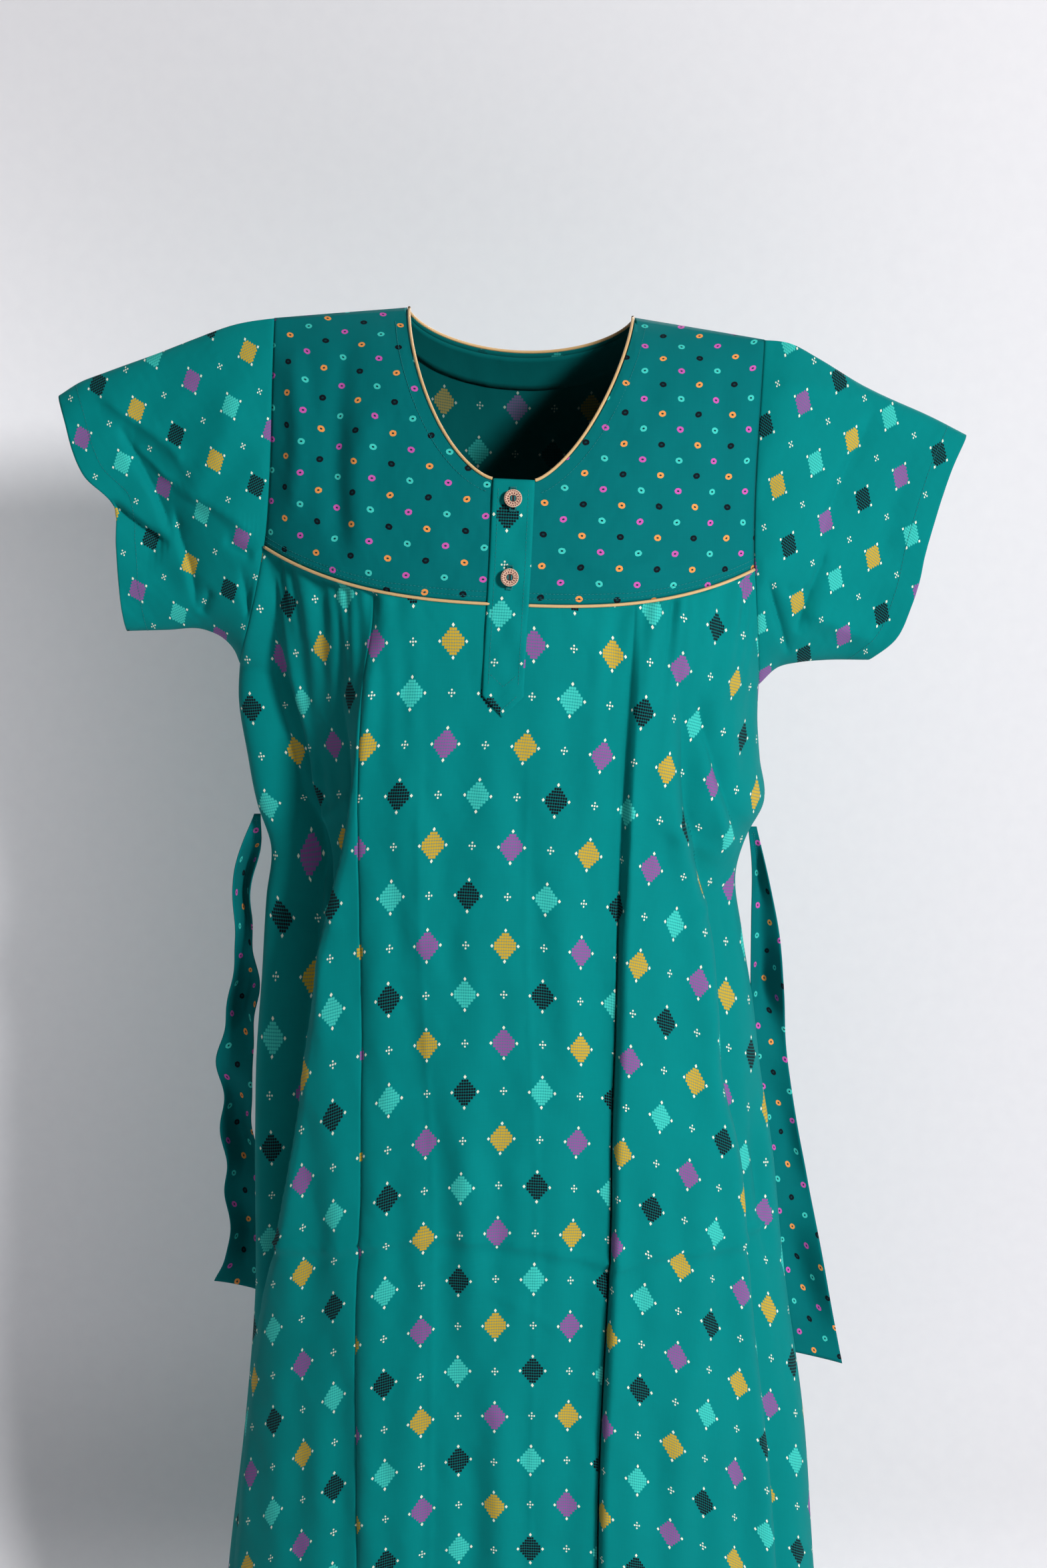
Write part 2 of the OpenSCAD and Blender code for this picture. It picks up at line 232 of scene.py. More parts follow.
def hang(p):
    """Leans the upright gown as part.scad does, and fills out its shoulders a little."""
    full = 7 * ease(-110, -5, p[..., 2]) * ease(330, 215, np.abs(p[..., 0]))
    p = p + np.stack([0 * full, 0 * full, full], -1)
    k = LEAN * (1 - ease(LEAN_FROM, LEAN_TO, p[..., 2]))
    return np.stack([p[..., 0] + k * p[..., 2], p[..., 1], p[..., 2] - k * p[..., 0]], -1)


def upright(points):
    """Points (x, z) as they are seen, put back to where they are before hang()."""
    out = []
    for x, z in points:
        k = LEAN * (1 - ease(LEAN_FROM, LEAN_TO, z))
        out.append((x - k * z, z + k * x))
    return out


def down(points):
    """Seen (x, z) points of a fold that runs down the cloth, as (z, x) knots."""
    return [(z, x) for x, z in upright(points)]


def walked(points):
    """Distance from the first point to each of the others, along them."""
    return np.r_[0, np.cumsum(np.linalg.norm(np.diff(points, axis=0), axis=1))]


def sample(points, run, want):
    return np.stack([np.interp(want, run, c) for c in points.T], 1)


def path_through(points, count):
    """Evenly spaced points on a smooth line through the given points."""
    points = np.array(points, float)
    run = walked(points)
    fine = np.linspace(0, run[-1], count * 6)
    line = np.stack([through(list(zip(run, c)), fine) for c in points.T], 1)
    run = walked(line)
    return sample(line, run, np.linspace(0, run[-1], count))


def ripples(x, z, size_x, size_z, seed, count=9):
    """Smooth random waves of about unit height, size_x and size_z long."""
    r = np.random.default_rng(seed)
    total = np.zeros_like(x)
    for _ in range(count):
        kx = 2 * np.pi / size_x * r.uniform(0.55, 1.5) * r.choice([-1, 1])
        kz = 2 * np.pi / size_z * r.uniform(0.4, 1.5)
        total += np.cos(kx * x + kz * z + r.uniform(0, 6.28))
    return total / np.sqrt(count)


def fold(x, z, line, depth, left, right, top=0.12, foot=0.0, power=2.0):
    """Raises (or, below zero, sinks) the cloth along a line that runs down it."""
    zs = [k[0] for k in line]
    t = (max(zs) - z) / (max(zs) - min(zs))
    ends = ease(0, top, t) if top else (t >= 0)
    if foot:
        ends = ends * ease(0, foot, 1 - t)
    if isinstance(depth, list):
        depth = through(depth, z)
    d = x - through(line, np.clip(z, min(zs), max(zs)))
    return depth * ends * np.exp(-np.abs(d / np.where(d < 0, left, right)) ** power)


def crease(x, z, points, depth, width, other=None, power=2.0, taper=0.25):
    """Raises or sinks the cloth along any line; the second width is its left-hand side."""
    line = path_through(points, 48)
    step = np.gradient(line, axis=0)
    flat = np.stack([x.ravel(), z.ravel()], 1)
    gap = np.linalg.norm(flat[:, None] - line[None], axis=2)
    near = gap.argmin(1)
    away = flat - line[near]
    left = (step[near, 0] * away[:, 1] - step[near, 1] * away[:, 0]) > 0
    t = near / 47
    ends = ease(0, taper, t) * ease(0, taper, 1 - t)
    side = np.where(left, other or width, width)
    out = depth * ends * np.exp(-np.abs(gap[np.arange(len(flat)), near] / side) ** power)
    return out.reshape(x.shape)


def unit(v):
    return v / np.maximum(np.linalg.norm(v, axis=-1, keepdims=True), 1e-9)


def normals_of(p):
    return unit(np.cross(np.gradient(p, axis=0), np.gradient(p, axis=1)))


def run_along(p, axis):
    """Distance walked along a grid's rows (axis 1) or columns (axis 0)."""
    step = np.linalg.norm(np.diff(p, axis=axis), axis=-1)
    pad = [(0, 0), (0, 0)]
    pad[axis] = (1, 0)
    return np.cumsum(np.pad(step, pad), axis=axis)


# ---------------------------------------------------------------- outline and depth of the body
# Outline of the skirt below each arm, half width against height
LEFT_SIDE = [(-1370, 302), (-1203, 288), (-1034, 266), (-912, 254), (-753, 249), (-678, 242),
             (-589, 228), (-523, 219), (-475, 212), (-437, 223), (-392, 231), (-340, 239),
             (-303, 238)]
RIGHT_SIDE = [(-1370, 306), (-1203, 288), (-1034, 273), (-871, 249), (-751, 236), (-680, 228),
              (-610, 224), (-545, 217), (-480, 213), (-445, 224), (-418, 237), (-376, 232),
              (-340, 228), (-303, 227)]
LEFT_ARMHOLE = [(0, 215), (-60, 212), (-137, 210), (-200, 213), (-260, 224), (-310, 237.5)]
RIGHT_ARMHOLE = [(0, 214), (-60, 210), (-137, 208), (-200, 211), (-260, 219), (-310, 227)]


def shoulder_z(x):
    return -SHOULDER_FALL * np.maximum(0, np.abs(x) - NECK_W) / (SHOULDER_W - NECK_W)


def side_w(side, z):
    low = np.where(side < 0, through(LEFT_SIDE, np.minimum(z, UNDERARM)),
                   through(RIGHT_SIDE, np.minimum(z, UNDERARM)))
    return np.where(z > UNDERARM, mix(low, CHEST_W + 1, ease(UNDERARM, -YOKE_SIDE_DROP, z)), low)


def edge_x(side, z):
    high = np.where(side < 0, through(LEFT_ARMHOLE, z), through(RIGHT_ARMHOLE, z))
    return np.where(z > UNDERARM, np.minimum(high, side_w(side, z)), side_w(side, z))


def yoke_seam_z(x):
    return -mix(YOKE_DROP, YOKE_SIDE_DROP, np.minimum(1, np.abs(x) / SHOULDER_W) ** 2.8)


def face_y(x, z, front):
    ratio = np.minimum(1, np.abs(x) / side_w(np.sign(x), z))
    bulge = np.sqrt(np.maximum(0, 1 - ratio**2.4))
    fullness = 1 - np.exp(-np.maximum(0, shoulder_z(x) - z) / DEPTH_LENGTH)
    skirt = HEM_DEPTH * np.clip((-z + UNDERARM) / GOWN_LENGTH, 0, 1)
    depth = FRONT_DEPTH if front else BACK_DEPTH
    return (-1 if front else 1) * (SEAM_GAP + (depth * fullness + skirt) * bulge)


def neck_point(side, a):
    """A point of the neckline: a is 0 at the placket and pi/2 at the shoulder."""
    power = 1.3 if side < 0 else 1.43
    return (side * mix(PLACKET_W / 2, NECK_W, np.sin(a) ** power),
            -NECK_DROP * np.cos(a) ** power)


def back_neck_z(x):
    return -BACK_NECK_DROP * np.maximum(0, 1 - np.minimum(1, np.abs(x) / NECK_W) ** 2) ** 0.6


def back_top_z(x):
    return np.where(np.abs(x) < NECK_W, back_neck_z(x), shoulder_z(x))


# ---------------------------------------------------------------- meshes
class Cloth:
    """A grid of cloth: points p (rows down, columns round to the viewer's right when seen from
    outside), its print coordinates uv, and the object made from it."""

    def __init__(self, name, p, uv, outer, inner=None, thick=CLOTH_T):
        self.name, self.p, self.uv = name, p, uv
        self.seen = hang(p)
        self.normal = normals_of(self.seen)
        rows, cols = p.shape[:2]
        verts = np.concatenate([(self.seen + self.normal * thick / 2).reshape(-1, 3),
                                (self.seen - self.normal * thick / 2).reshape(-1, 3)])
        a = (np.arange(rows - 1)[:, None] * cols + np.arange(cols - 1)[None]).ravel()
        top = np.stack([a, a + cols, a + cols + 1, a + 1], 1)
        under = top[:, ::-1] + rows * cols
        rim = np.concatenate([np.arange(cols), np.arange(1, rows) * cols + cols - 1,
                              (rows - 1) * cols + np.arange(cols - 2, -1, -1),
                              np.arange(rows - 2, 0, -1) * cols])
        nxt = np.roll(rim, -1)
        wall = np.stack([rim, nxt, nxt + rows * cols, rim + rows * cols], 1)
        faces = np.concatenate([top, under, wall])
        self.obj = mesh_object(name, verts, faces, [outer, inner or outer],
                               np.repeat([0, 1, 0], [len(top), len(under), len(wall)]))
        flat = np.concatenate([uv.reshape(-1, 2)] * 2)
        layer = self.obj.data.uv_layers.new(name="cloth")
        layer.data.foreach_set("uv", flat[faces.ravel()].ravel())

    def at(self, row, col):
        """Position and normal at fractional rows and columns."""
        row = np.clip(row, 0, self.p.shape[0] - 1.001)
        col = np.clip(col, 0, self.p.shape[1] - 1.001)
        i, j = row.astype(int), col.astype(int)
        u, v = (row - i)[:, None], (col - j)[:, None]

        def between(g):
            return (g[i, j] * (1 - u) * (1 - v) + g[i + 1, j] * u * (1 - v)
                    + g[i, j + 1] * (1 - u) * v + g[i + 1, j + 1] * u * v)
        return between(self.seen), between(self.normal)


def mesh_object(name, verts, faces, materials, index=None):
    mesh = bpy.data.meshes.new(name)
    mesh.from_pydata((verts * 0.001).tolist(), [], [list(map(int, f)) for f in faces])
    for m in materials:
        mesh.materials.append(m)
    if index is not None:
        mesh.polygons.foreach_set("material_index", np.asarray(index, np.int32))
    mesh.polygons.foreach_set("use_smooth", np.ones(len(mesh.polygons), bool))
    mesh.update()
    obj = bpy.data.objects.new(name, mesh)
    bpy.context.scene.collection.objects.link(obj)
    return obj


def lining(name, cloth, rows, cols, gap, material, thick=0.5):
    """A strip inside a panel, from its own rows and columns, gap behind it."""
    p = cloth.p[rows, cols]
    n = normals_of(cloth.p)[rows, cols]
    return Cloth(name, p - n * gap, cloth.uv[rows, cols], material, thick=thick)


def join(name, objects):
    """Several objects as one piece."""
    bpy.ops.object.select_all(action="DESELECT")
    for o in objects:
        o.select_set(True)
    bpy.context.view_layer.objects.active = objects[0]
    bpy.ops.object.join()
    objects[0].name = name
    return objects[0]


def tube(name, path, radius, material, sides=10):
    """Round cord along a path, with print coordinates round and along it in millimetres."""
    t = unit(np.gradient(path, axis=0))
    a = unit(np.cross(t, [0, 1, 0.3]))
    b = np.cross(t, a)
    ang = np.linspace(0, 2 * np.pi, sides, endpoint=False)
    ring = path[:, None] + radius * (np.cos(ang)[:, None] * a[:, None]
                                     + np.sin(ang)[:, None] * b[:, None])
    n = len(path)
    faces = [[k * sides + i, k * sides + (i + 1) % sides,
              (k + 1) * sides + (i + 1) % sides, (k + 1) * sides + i]
             for k in range(n - 1) for i in range(sides)]
    faces += [list(range(sides))[::-1], [(n - 1) * sides + i for i in range(sides)]]
    obj = mesh_object(name, ring.reshape(-1, 3), faces, [material])
    run = walked(path)
    layer = obj.data.uv_layers.new(name="cloth")
    for loop in obj.data.loops:
        v = loop.vertex_index
        layer.data[loop.index].uv = (v % sides * 2 * np.pi * radius / sides, run[v // sides])
    return obj


def stitches(name, tracks, material, length=2.5, pitch=3.3, width=0.42):
    """Rows of sewing stitches. Each track is points on the cloth and the cloth's normals."""
    verts, faces = [], []
    sides, rings = 6, 5
    share = np.array([0, 0.18, 0.5, 0.82, 1])
    lift = np.array([-0.1, 0.28, 0.36, 0.28, -0.1]) + CLOTH_T / 2
    radius = width / 2 * np.array([0.45, 1, 1, 1, 0.45])
    for points, normal in tracks:
        run = walked(points)
        for s in np.arange(pitch / 2, run[-1] - length, pitch):
            c = sample(points, run, s + share * length)
            n = sample(normal, run, [s])[0]
            across = np.cross(unit(c[-1] - c[0]), n)
            base = len(verts)
            for k in range(rings):
                for ang in np.arange(sides) * np.pi / 3:
                    verts.append(c[k] + n * (lift[k] + radius[k] * np.sin(ang))
                                 + across * radius[k] * np.cos(ang))
            for k in range(rings - 1):
                for i in range(sides):
                    a, b = base + k * sides + i, base + k * sides + (i + 1) % sides
                    faces.append([a, b, b + sides, a + sides])
            faces.append([base + i for i in range(sides - 1, -1, -1)])
            faces.append([base + sides * (rings - 1) + i for i in range(sides)])
    return mesh_object(name, np.array(verts), faces, [material])


# ---------------------------------------------------------------- materials
class Out:
    """A shader node's output. Sums are written with it as with numbers, and each adds a node."""

    def __init__(self, net, socket):
        self.net, self.socket = net, socket

    def __add__(self, b): return self.net.do("ADD", self, b)
    def __sub__(self, b): return self.net.do("SUBTRACT", self, b)
    def __rsub__(self, b): return self.net.do("SUBTRACT", b, self)
    def __mul__(self, b): return self.net.do("MULTIPLY", self, b)
    def __truediv__(self, b): return self.net.do("DIVIDE", self, b)
    def __floordiv__(self, b): return self.net.do("FLOOR", self / b)
    def __mod__(self, b): return self.net.do("FLOORED_MODULO", self, b)
    def __lt__(self, b): return self.net.do("LESS_THAN", self, b)
    def __abs__(self): return self.net.do("ABSOLUTE", self)
    def __round__(self): return self.net.do("ROUND", self)
    __radd__, __rmul__ = __add__, __mul__


class Net:
    """A material's shader nodes."""

    def __init__(self, name):
        self.mat = bpy.data.materials.new(name)
        self.mat.use_nodes = True
        self.tree = self.mat.node_tree
        self.shader = self.tree.nodes["Principled BSDF"]

    def put(self, socket, value):
        if isinstance(value, Out):
            self.tree.links.new(value.socket, socket)
        else:
            socket.default_value = value

    def node(self, kind, out=0, **inputs):
        n = self.tree.nodes.new(kind)
        for key, value in inputs.items():
            self.put(n.inputs[key.replace("_", " ")], value)
        return Out(self, n.outputs[out])

    def do(self, op, *args):
        n = self.tree.nodes.new("ShaderNodeMath")
        n.operation = op
        for i, value in enumerate(args):
            self.put(n.inputs[i], value)
        return Out(self, n.outputs[0])

    def low(self, a, b): return self.do("MINIMUM", a, b)
    def high(self, a, b): return self.do("MAXIMUM", a, b)

    def blend(self, fac, a, b, kind="MIX"):
        n = self.tree.nodes.new("ShaderNodeMix")
        n.data_type = "RGBA"
        n.blend_type = kind
        self.put(n.inputs[0], fac)
        self.put(n.inputs[6], a)
        self.put(n.inputs[7], b)
        return Out(self, n.outputs[2])

    def uv(self):
        n = self.tree.nodes.new("ShaderNodeUVMap")
        n.uv_map = "cloth"
        place = Out(self, n.outputs[0])
        split = self.node("ShaderNodeSeparateXYZ", Vector=place).socket.node.outputs
        return Out(self, split[0]), Out(self, split[1]), place

    def place(self):
        return self.node("ShaderNodeTexCoord", "Object")

    def noise(self, vector, scale, detail=2.0, roughness=0.5):
        return self.node("ShaderNodeTexNoise", Vector=vector, Scale=scale, Detail=detail,
                         Roughness=roughness)

    def bump(self, height, strength, distance):
        return self.node("ShaderNodeBump", Height=height, Strength=strength, Distance=distance)

    def disc(self, x, y, across, up):
        """1 inside an oval of the given half width and half height."""
        x, y = x / across, y / up
        return x * x + y * y < 1.0

    def repeat(self, u, v, column, row):
        """A repeat whose odd rows are shifted by half: the place in it, its row and column,
        whether the row is odd, and 0 or 1 for its other colour."""
        r = round(v / row)
        odd = r % 2.0
        u = u - odd * (column / 2)
        c = round(u / column)
        du, dv = u - c * column, v - r * row
        return du, dv, r, c, odd, (r // 2.0 + c) % 2.0

    def set(self, **values):
        for key, value in values.items():
            self.put(self.shader.inputs[key.replace("_", " ")], value)


def rgb(r, g, b):
    """Linear colour of an 8-bit screen colour."""
    def one(c):
        c /= 255
        return c / 12.92 if c <= 0.04045 else ((c + 0.055) / 1.055) ** 2.4
    return (one(r), one(g), one(b), 1)


TEAL = rgb(0, 131, 130)
TEAL_YOKE = rgb(0, 112, 114)
YELLOW = rgb(208, 170, 46)
PURPLE = rgb(148, 84, 158)
BLACK = rgb(18, 22, 30)
TURQUOISE = rgb(66, 204, 192)
CREAM = rgb(238, 244, 222)
ORANGE = rgb(244, 158, 82)
PINK = rgb(206, 92, 180)
# Repeats of the two prints, and the steps between dots in a diamond and in a cross
COLUMN, ROW = 68.0, 43.8
RING_COLUMN, RING_ROW = 32.5, 13.2
DOT_U, DOT_V = 2.1, 2.6
CROSS_U, CROSS_V = 2.3, 2.7
WEAVE = 0.42


def cotton(net, colour, u, v, uv):
    """The plain weave, its sheen and the way that the dye varies."""
    weft, warp = (net.do("SINE", at * (2 * np.pi / WEAVE)) for at in (u, v))
    # Threads are uneven along each way of the cloth
    slub, slub2 = (net.noise(net.node("ShaderNodeCombineXYZ", X=u * a, Y=v * b), 1.0, 3.0)
                   for a, b in ((0.05, 1.1), (1.1, 0.05)))
    dye = net.noise(uv, 0.012, 4.0, 0.6)
    shade = 0.8 + 0.4 * (0.5 * dye + 0.25 * (slub + slub2))
    tint = net.node("ShaderNodeCombineColor", Red=shade, Green=shade, Blue=shade)
    net.set(Base_Color=net.blend(1.0, colour, tint, "MULTIPLY"))
    height = weft * warp + 1.2 * (slub + slub2)
    net.set(Normal=net.bump(height, 0.35, 0.00012), Roughness=0.66 + 0.12 * slub,
            Sheen_Weight=0.02, Sheen_Roughness=0.4, Specular_IOR_Level=0.05)


def diamond_print(name, base, fade=0.0):
    """Rows of dotted diamonds with cream marks at their corners and a small cross between."""
    net = Net(name)
    u, v, uv = net.uv()
    wobble = net.noise(uv, 0.35, 1.0)
    du, dv, _, _, odd, k = net.repeat(u, v, COLUMN, ROW)
    du = du + 0.5 * (wobble - 0.5)
    i, j = round(du / DOT_U), round(dv / DOT_V)
    lim = net.low(4.0, 5.0 - abs(j))
    inside = (abs(i) < lim + 0.5) * (abs(j) < 4.5)
    dots = inside * net.disc(du - i * DOT_U, dv - j * DOT_V, 0.98, 1.08)
    au, av = abs(du), abs(dv)
    side = abs(au - 11.4) / 1.3 + av / 1.7 < 1.0
    ends = au / 1.3 + abs(av - 13.9) / 1.9 < 1.0
    w = COLUMN / 2 - au
    ci, cj = round(w / CROSS_U), round(dv / CROSS_V)
    arm = abs(ci) + abs(cj) < 1.5
    cross = arm * net.disc(w - ci * CROSS_U, dv - cj * CROSS_V, 0.75, 0.9)
    cream = net.high(net.high(side, ends), cross)
    ink = net.blend(odd, net.blend(k, YELLOW, PURPLE), net.blend(k, BLACK, TURQUOISE))
    colour = net.blend(inside, base, net.blend(0.42, base, ink))
    colour = net.blend(cream, net.blend(dots, colour, ink), CREAM)
    if fade:
        colour = net.blend(fade, colour, base)
    cotton(net, colour, u, v, uv)
    return net.mat


def ring_print(name, base, fade=0.0):
    """Small tied rings in four colours."""
    net = Net(name)
    u, v, uv = net.uv()
    du, dv, r, c, odd, k = net.repeat(u, v, RING_COLUMN, RING_ROW)
    cell = net.tree.nodes.new("ShaderNodeTexWhiteNoise")
    cell.noise_dimensions = "2D"
    net.put(cell.inputs["Vector"], net.node("ShaderNodeCombineXYZ", X=r, Y=c))
    tilt = Out(net, cell.outputs[0]) - 0.5
    cs, sn = net.do("COSINE", tilt), net.do("SINE", tilt)
    x = du * cs + dv * sn
    y = dv * cs - du * sn
    wobble = 0.25 * (net.noise(uv, 0.6, 1.0) - 0.5)
    ex, ey = x / 3.1, y / 2.6
    e = net.do("SQRT", ex * ex + ey * ey) + wobble
    hole = net.disc(x, y, 1.15, 0.8)
    ink = net.blend(odd, net.blend(k, ORANGE, BLACK), net.blend(k, PINK, TURQUOISE))
    colour = net.blend(e < 1.0, base, ink)
    colour = net.blend(hole, colour, rgb(10, 62, 66))
    if fade:
        colour = net.blend(fade, colour, base)
    cotton(net, colour, u, v, uv)
    return net.mat


def plain_cotton(name, base):
    net = Net(name)
    u, v, uv = net.uv()
    cotton(net, base, u, v, uv)
    return net.mat


def satin(name):
    """Bias-cut piping: fine diagonal ribs with a soft shine."""
    net = Net(name)
    u, v, uv = net.uv()
    rib = net.do("SINE", (u + v) * (2 * np.pi / 0.7))
    dye = net.noise(uv, 0.15, 3.0)
    colour = net.blend(0.6 * dye, rgb(226, 186, 128), rgb(206, 162, 104))
    net.set(Base_Color=colour, Roughness=0.36 + 0.15 * dye, Sheen_Weight=0.2,
            Normal=net.bump(rib, 0.3, 0.0002))
    return net.mat


def thread(name, base):
    """Twisted sewing thread."""
    net = Net(name)
    geo = net.place()
    twist = net.noise(geo, 2400.0, 2.0)
    net.set(Base_Color=net.blend(twist, base, tuple(min(1, c * 1.8) for c in base[:3]) + (1,)),
            Roughness=0.55, Normal=net.bump(twist, 0.4, 0.0001))
    return net.mat


def painted_button(name, centre, right, up):
    """Cream button with two rings of dark dashes round a dark, sunken middle, lightly worn."""
    net = Net(name)
    geo = net.place()

    def along(axis):
        n = net.tree.nodes.new("ShaderNodeVectorMath")
        n.operation = "DOT_PRODUCT"
        net.put(n.inputs[0], geo)
        n.inputs[1].default_value = tuple(float(c) for c in axis)
        return Out(net, n.outputs["Value"]) * 1000.0 - float(np.dot(centre, axis))
    x, y = along(right), along(up)
    r = net.do("SQRT", x * x + y * y)
    turn = net.do("ARCTAN2", y, x)
    grain = net.noise(geo, 900.0, 5.0, 0.65)

    def dashes(at, width, count):
        band = abs(r - at) < width
        return band * (net.do("SINE", turn * float(count)) < 0.25)
    marks = net.high(dashes(6.3, 0.45, 22), dashes(4.3, 0.75, 13)) * (grain < 0.6)
    colour = net.blend(grain, rgb(240, 206, 180), rgb(196, 146, 122))
    colour = net.blend(marks, colour, rgb(96, 40, 38))
    colour = net.blend(r < 2.9, colour, rgb(52, 26, 26))
    net.set(Base_Color=colour, Roughness=0.35 + 0.25 * grain,
            Normal=net.bump(grain - marks, 0.3, 0.0002))
    return net.mat


diamond = diamond_print("diamond_cotton", TEAL)
# The back of the diamond cloth: its print is faded, and its darker teal ground is painted shade for the inside of the
# gown
diamond_back_shaded = diamond_print("diamond_reverse_painted_shade", rgb(2, 96, 96), fade=0.55)
ring = ring_print("ring_cotton", TEAL_YOKE)
# The back of the ring cloth: its print is faded, and its darker teal ground is painted shade for the inside of the
# gown
ring_back_shaded = ring_print("ring_reverse_painted_shade", rgb(2, 92, 94), fade=0.5)
# The plain cotton of the inside pieces is a darker teal than the outside: painted shade for the inside of the gown
inner_cotton = plain_cotton("inner_cotton", rgb(2, 100, 100))
piping_satin = satin("piping_satin")
sewing_thread = thread("sewing_thread", rgb(10, 106, 108))

# ---------------------------------------------------------------- camera and stage
CAMERA = (0.0024, -1.94, 0.0)
PITCH = 12.0
cam_data = bpy.data.cameras.new("camera")
cam_data.sensor_fit = "VERTICAL"
cam_data.sensor_height = 36
cam_data.lens = 50
cam_data.clip_end = 50
camera = bpy.data.objects.new("camera", cam_data)
camera.location = CAMERA
camera.rotation_euler = (np.radians(90 - PITCH), 0, 0)
bpy.context.scene.collection.objects.link(camera)
bpy.context.scene.camera = camera
bpy.context.scene.view_settings.view_transform = "Standard"

# ---------------------------------------------------------------- front panel
F1 = down([(-112, -205), (-118, -243), (-129, -282), (-137, -324), (-141, -366), (-147, -408),
           (-156, -452), (-170, -509), (-188, -606), (-200, -693), (-223, -824), (-238, -891),
           (-259, -1027), (-271, -1129), (-296, -1370)])
F2 = down([(-126, -205), (-126, -249), (-133, -302), (-136, -340), (-140, -460), (-141, -601),
           (-143, -705), (-146, -805), (-150, -883), (-151, -1000), (-152, -1370)])
F3 = down([(97, -205), (96, -252), (93, -316), (90, -382), (88, -482), (86, -550), (85, -607),
           (82, -724), (80, -832), (77, -899), (72, -1030), (71, -1132), (70, -1370)])
LEFT_FOLD = [(-200, -236), (-260, -232), (-340, -217), (-440, -203), (-520, -185), (-600, -182),
             (-680, -190)]
FOLD_A = down([(119, -262), (133, -295), (142, -334), (149, -417), (169, -483), (182, -531),
               (187, -584), (192, -666), (210, -738), (217, -799), (232, -930), (250, -1100),
               (268, -1370)])
FOLD_B = down([(196, -420), (204, -470), (210, -549), (222, -632), (230, -754), (251, -929)])
FOLD_C = down([(150, -300), (168, -360), (190, -430), (200, -470)])
# Creases that the ties pull in the cloth: height, run and rise away from the tie's root
TUGS = ((3, -90, 60), (2.6, -70, -60), (2.2, -40, 110))
COLUMN_DRIFT = [(-200, -13), (-240, -12), (-314, -11), (-395, -20), (-480, -29), (-565, -36),
                (-653, -42), (-742, -51), (-829, -55), (-1099, -57), (-1370, -58)]


def groove(count):
    """Places across a narrow fold, from -1 to 1, and how deep the cloth is at each."""
    across = np.linspace(-1, 1, count)
    return across, (1 - np.abs(across)) ** 0.85


def tugs(x, z, pulls, width):
    """Creases that fan out from where the ties are sewn into the side seams."""
    return sum(crease(x, z, [(side * 206, root), (side * (212 + run / 2), root + rise / 2),
                             (side * (212 + run), root + rise)], lift, width, taper=0.35)
               for side, root in ((-1, -462), (1, -470)) for lift, run, rise in pulls)


def front_shape():
    rows = np.linspace(0, 1, 250) ** 1.12
    n_left, n_mid, n_right = 84, 96, 92
    g2, deep2 = groove(7)
    g3, deep3 = groove(15)
    z = np.broadcast_to(mix(-YOKE_DROP, -GOWN_LENGTH, rows)[:, None], (250, 1)).copy()
    z = np.repeat(z, n_left + 7 + n_mid + 15 + n_right, axis=1)
    for _ in range(3):
        left, right = -edge_x(-1, z), edge_x(1, z)
        x2, x3 = (through(line, np.maximum(z, -GOWN_LENGTH)) for line in (F2, F3))
        w2, w3 = 0.4, mix(6.0, 1.0, ease(-330, -560, z[:, :1]))
        parts = []
        s = np.sin(np.linspace(1, 0, n_left, endpoint=False) * np.pi / 2)
        parts.append(mix(x2[:, :n_left] - w2, left[:, :n_left], s))
        o = n_left
        parts.append(x2[:, o:o + 7] + g2 * w2)
        o += 7
        s = (np.arange(n_mid) + 1) / (n_mid + 1)
        parts.append(mix(x2[:, o:o + n_mid] + w2, x3[:, o:o + n_mid] - w3, s))
        o += n_mid
        parts.append(x3[:, o:o + 15] + g3 * w3)
        o += 15
        s = np.sin(np.linspace(0, 1, n_right + 1)[1:] * np.pi / 2)
        parts.append(mix(x3[:, o:] + w3, right[:, o:], s))
        x = np.concatenate(parts, 1)
        z = mix(yoke_seam_z(x) - 1.2, -GOWN_LENGTH, rows[:, None])
    y = face_y(x, z, True)
    out = folds_front(x, z)
    base = np.stack([x, y, z], -1)
    n = normals_of(base)
    p = base + n * out[..., None]
    d2 = through([(-205, 0.4), (-300, 1.5), (-400, 4), (-1370, 6)], z[:, :1])
    d3 = through([(-205, 0), (-300, 0.5), (-382, 1.5), (-482, 4), (-600, 8), (-760, 12),
                  (-1370, 16)], z[:, :1])
    in2 = slice(n_left, n_left + 7)
    in3 = slice(n_left + 7 + n_mid, n_left + 7 + n_mid + 15)
    p[:, in2, 1] += d2 * deep2
    p[:, in3, 1] += d3 * deep3
    return x, z, p


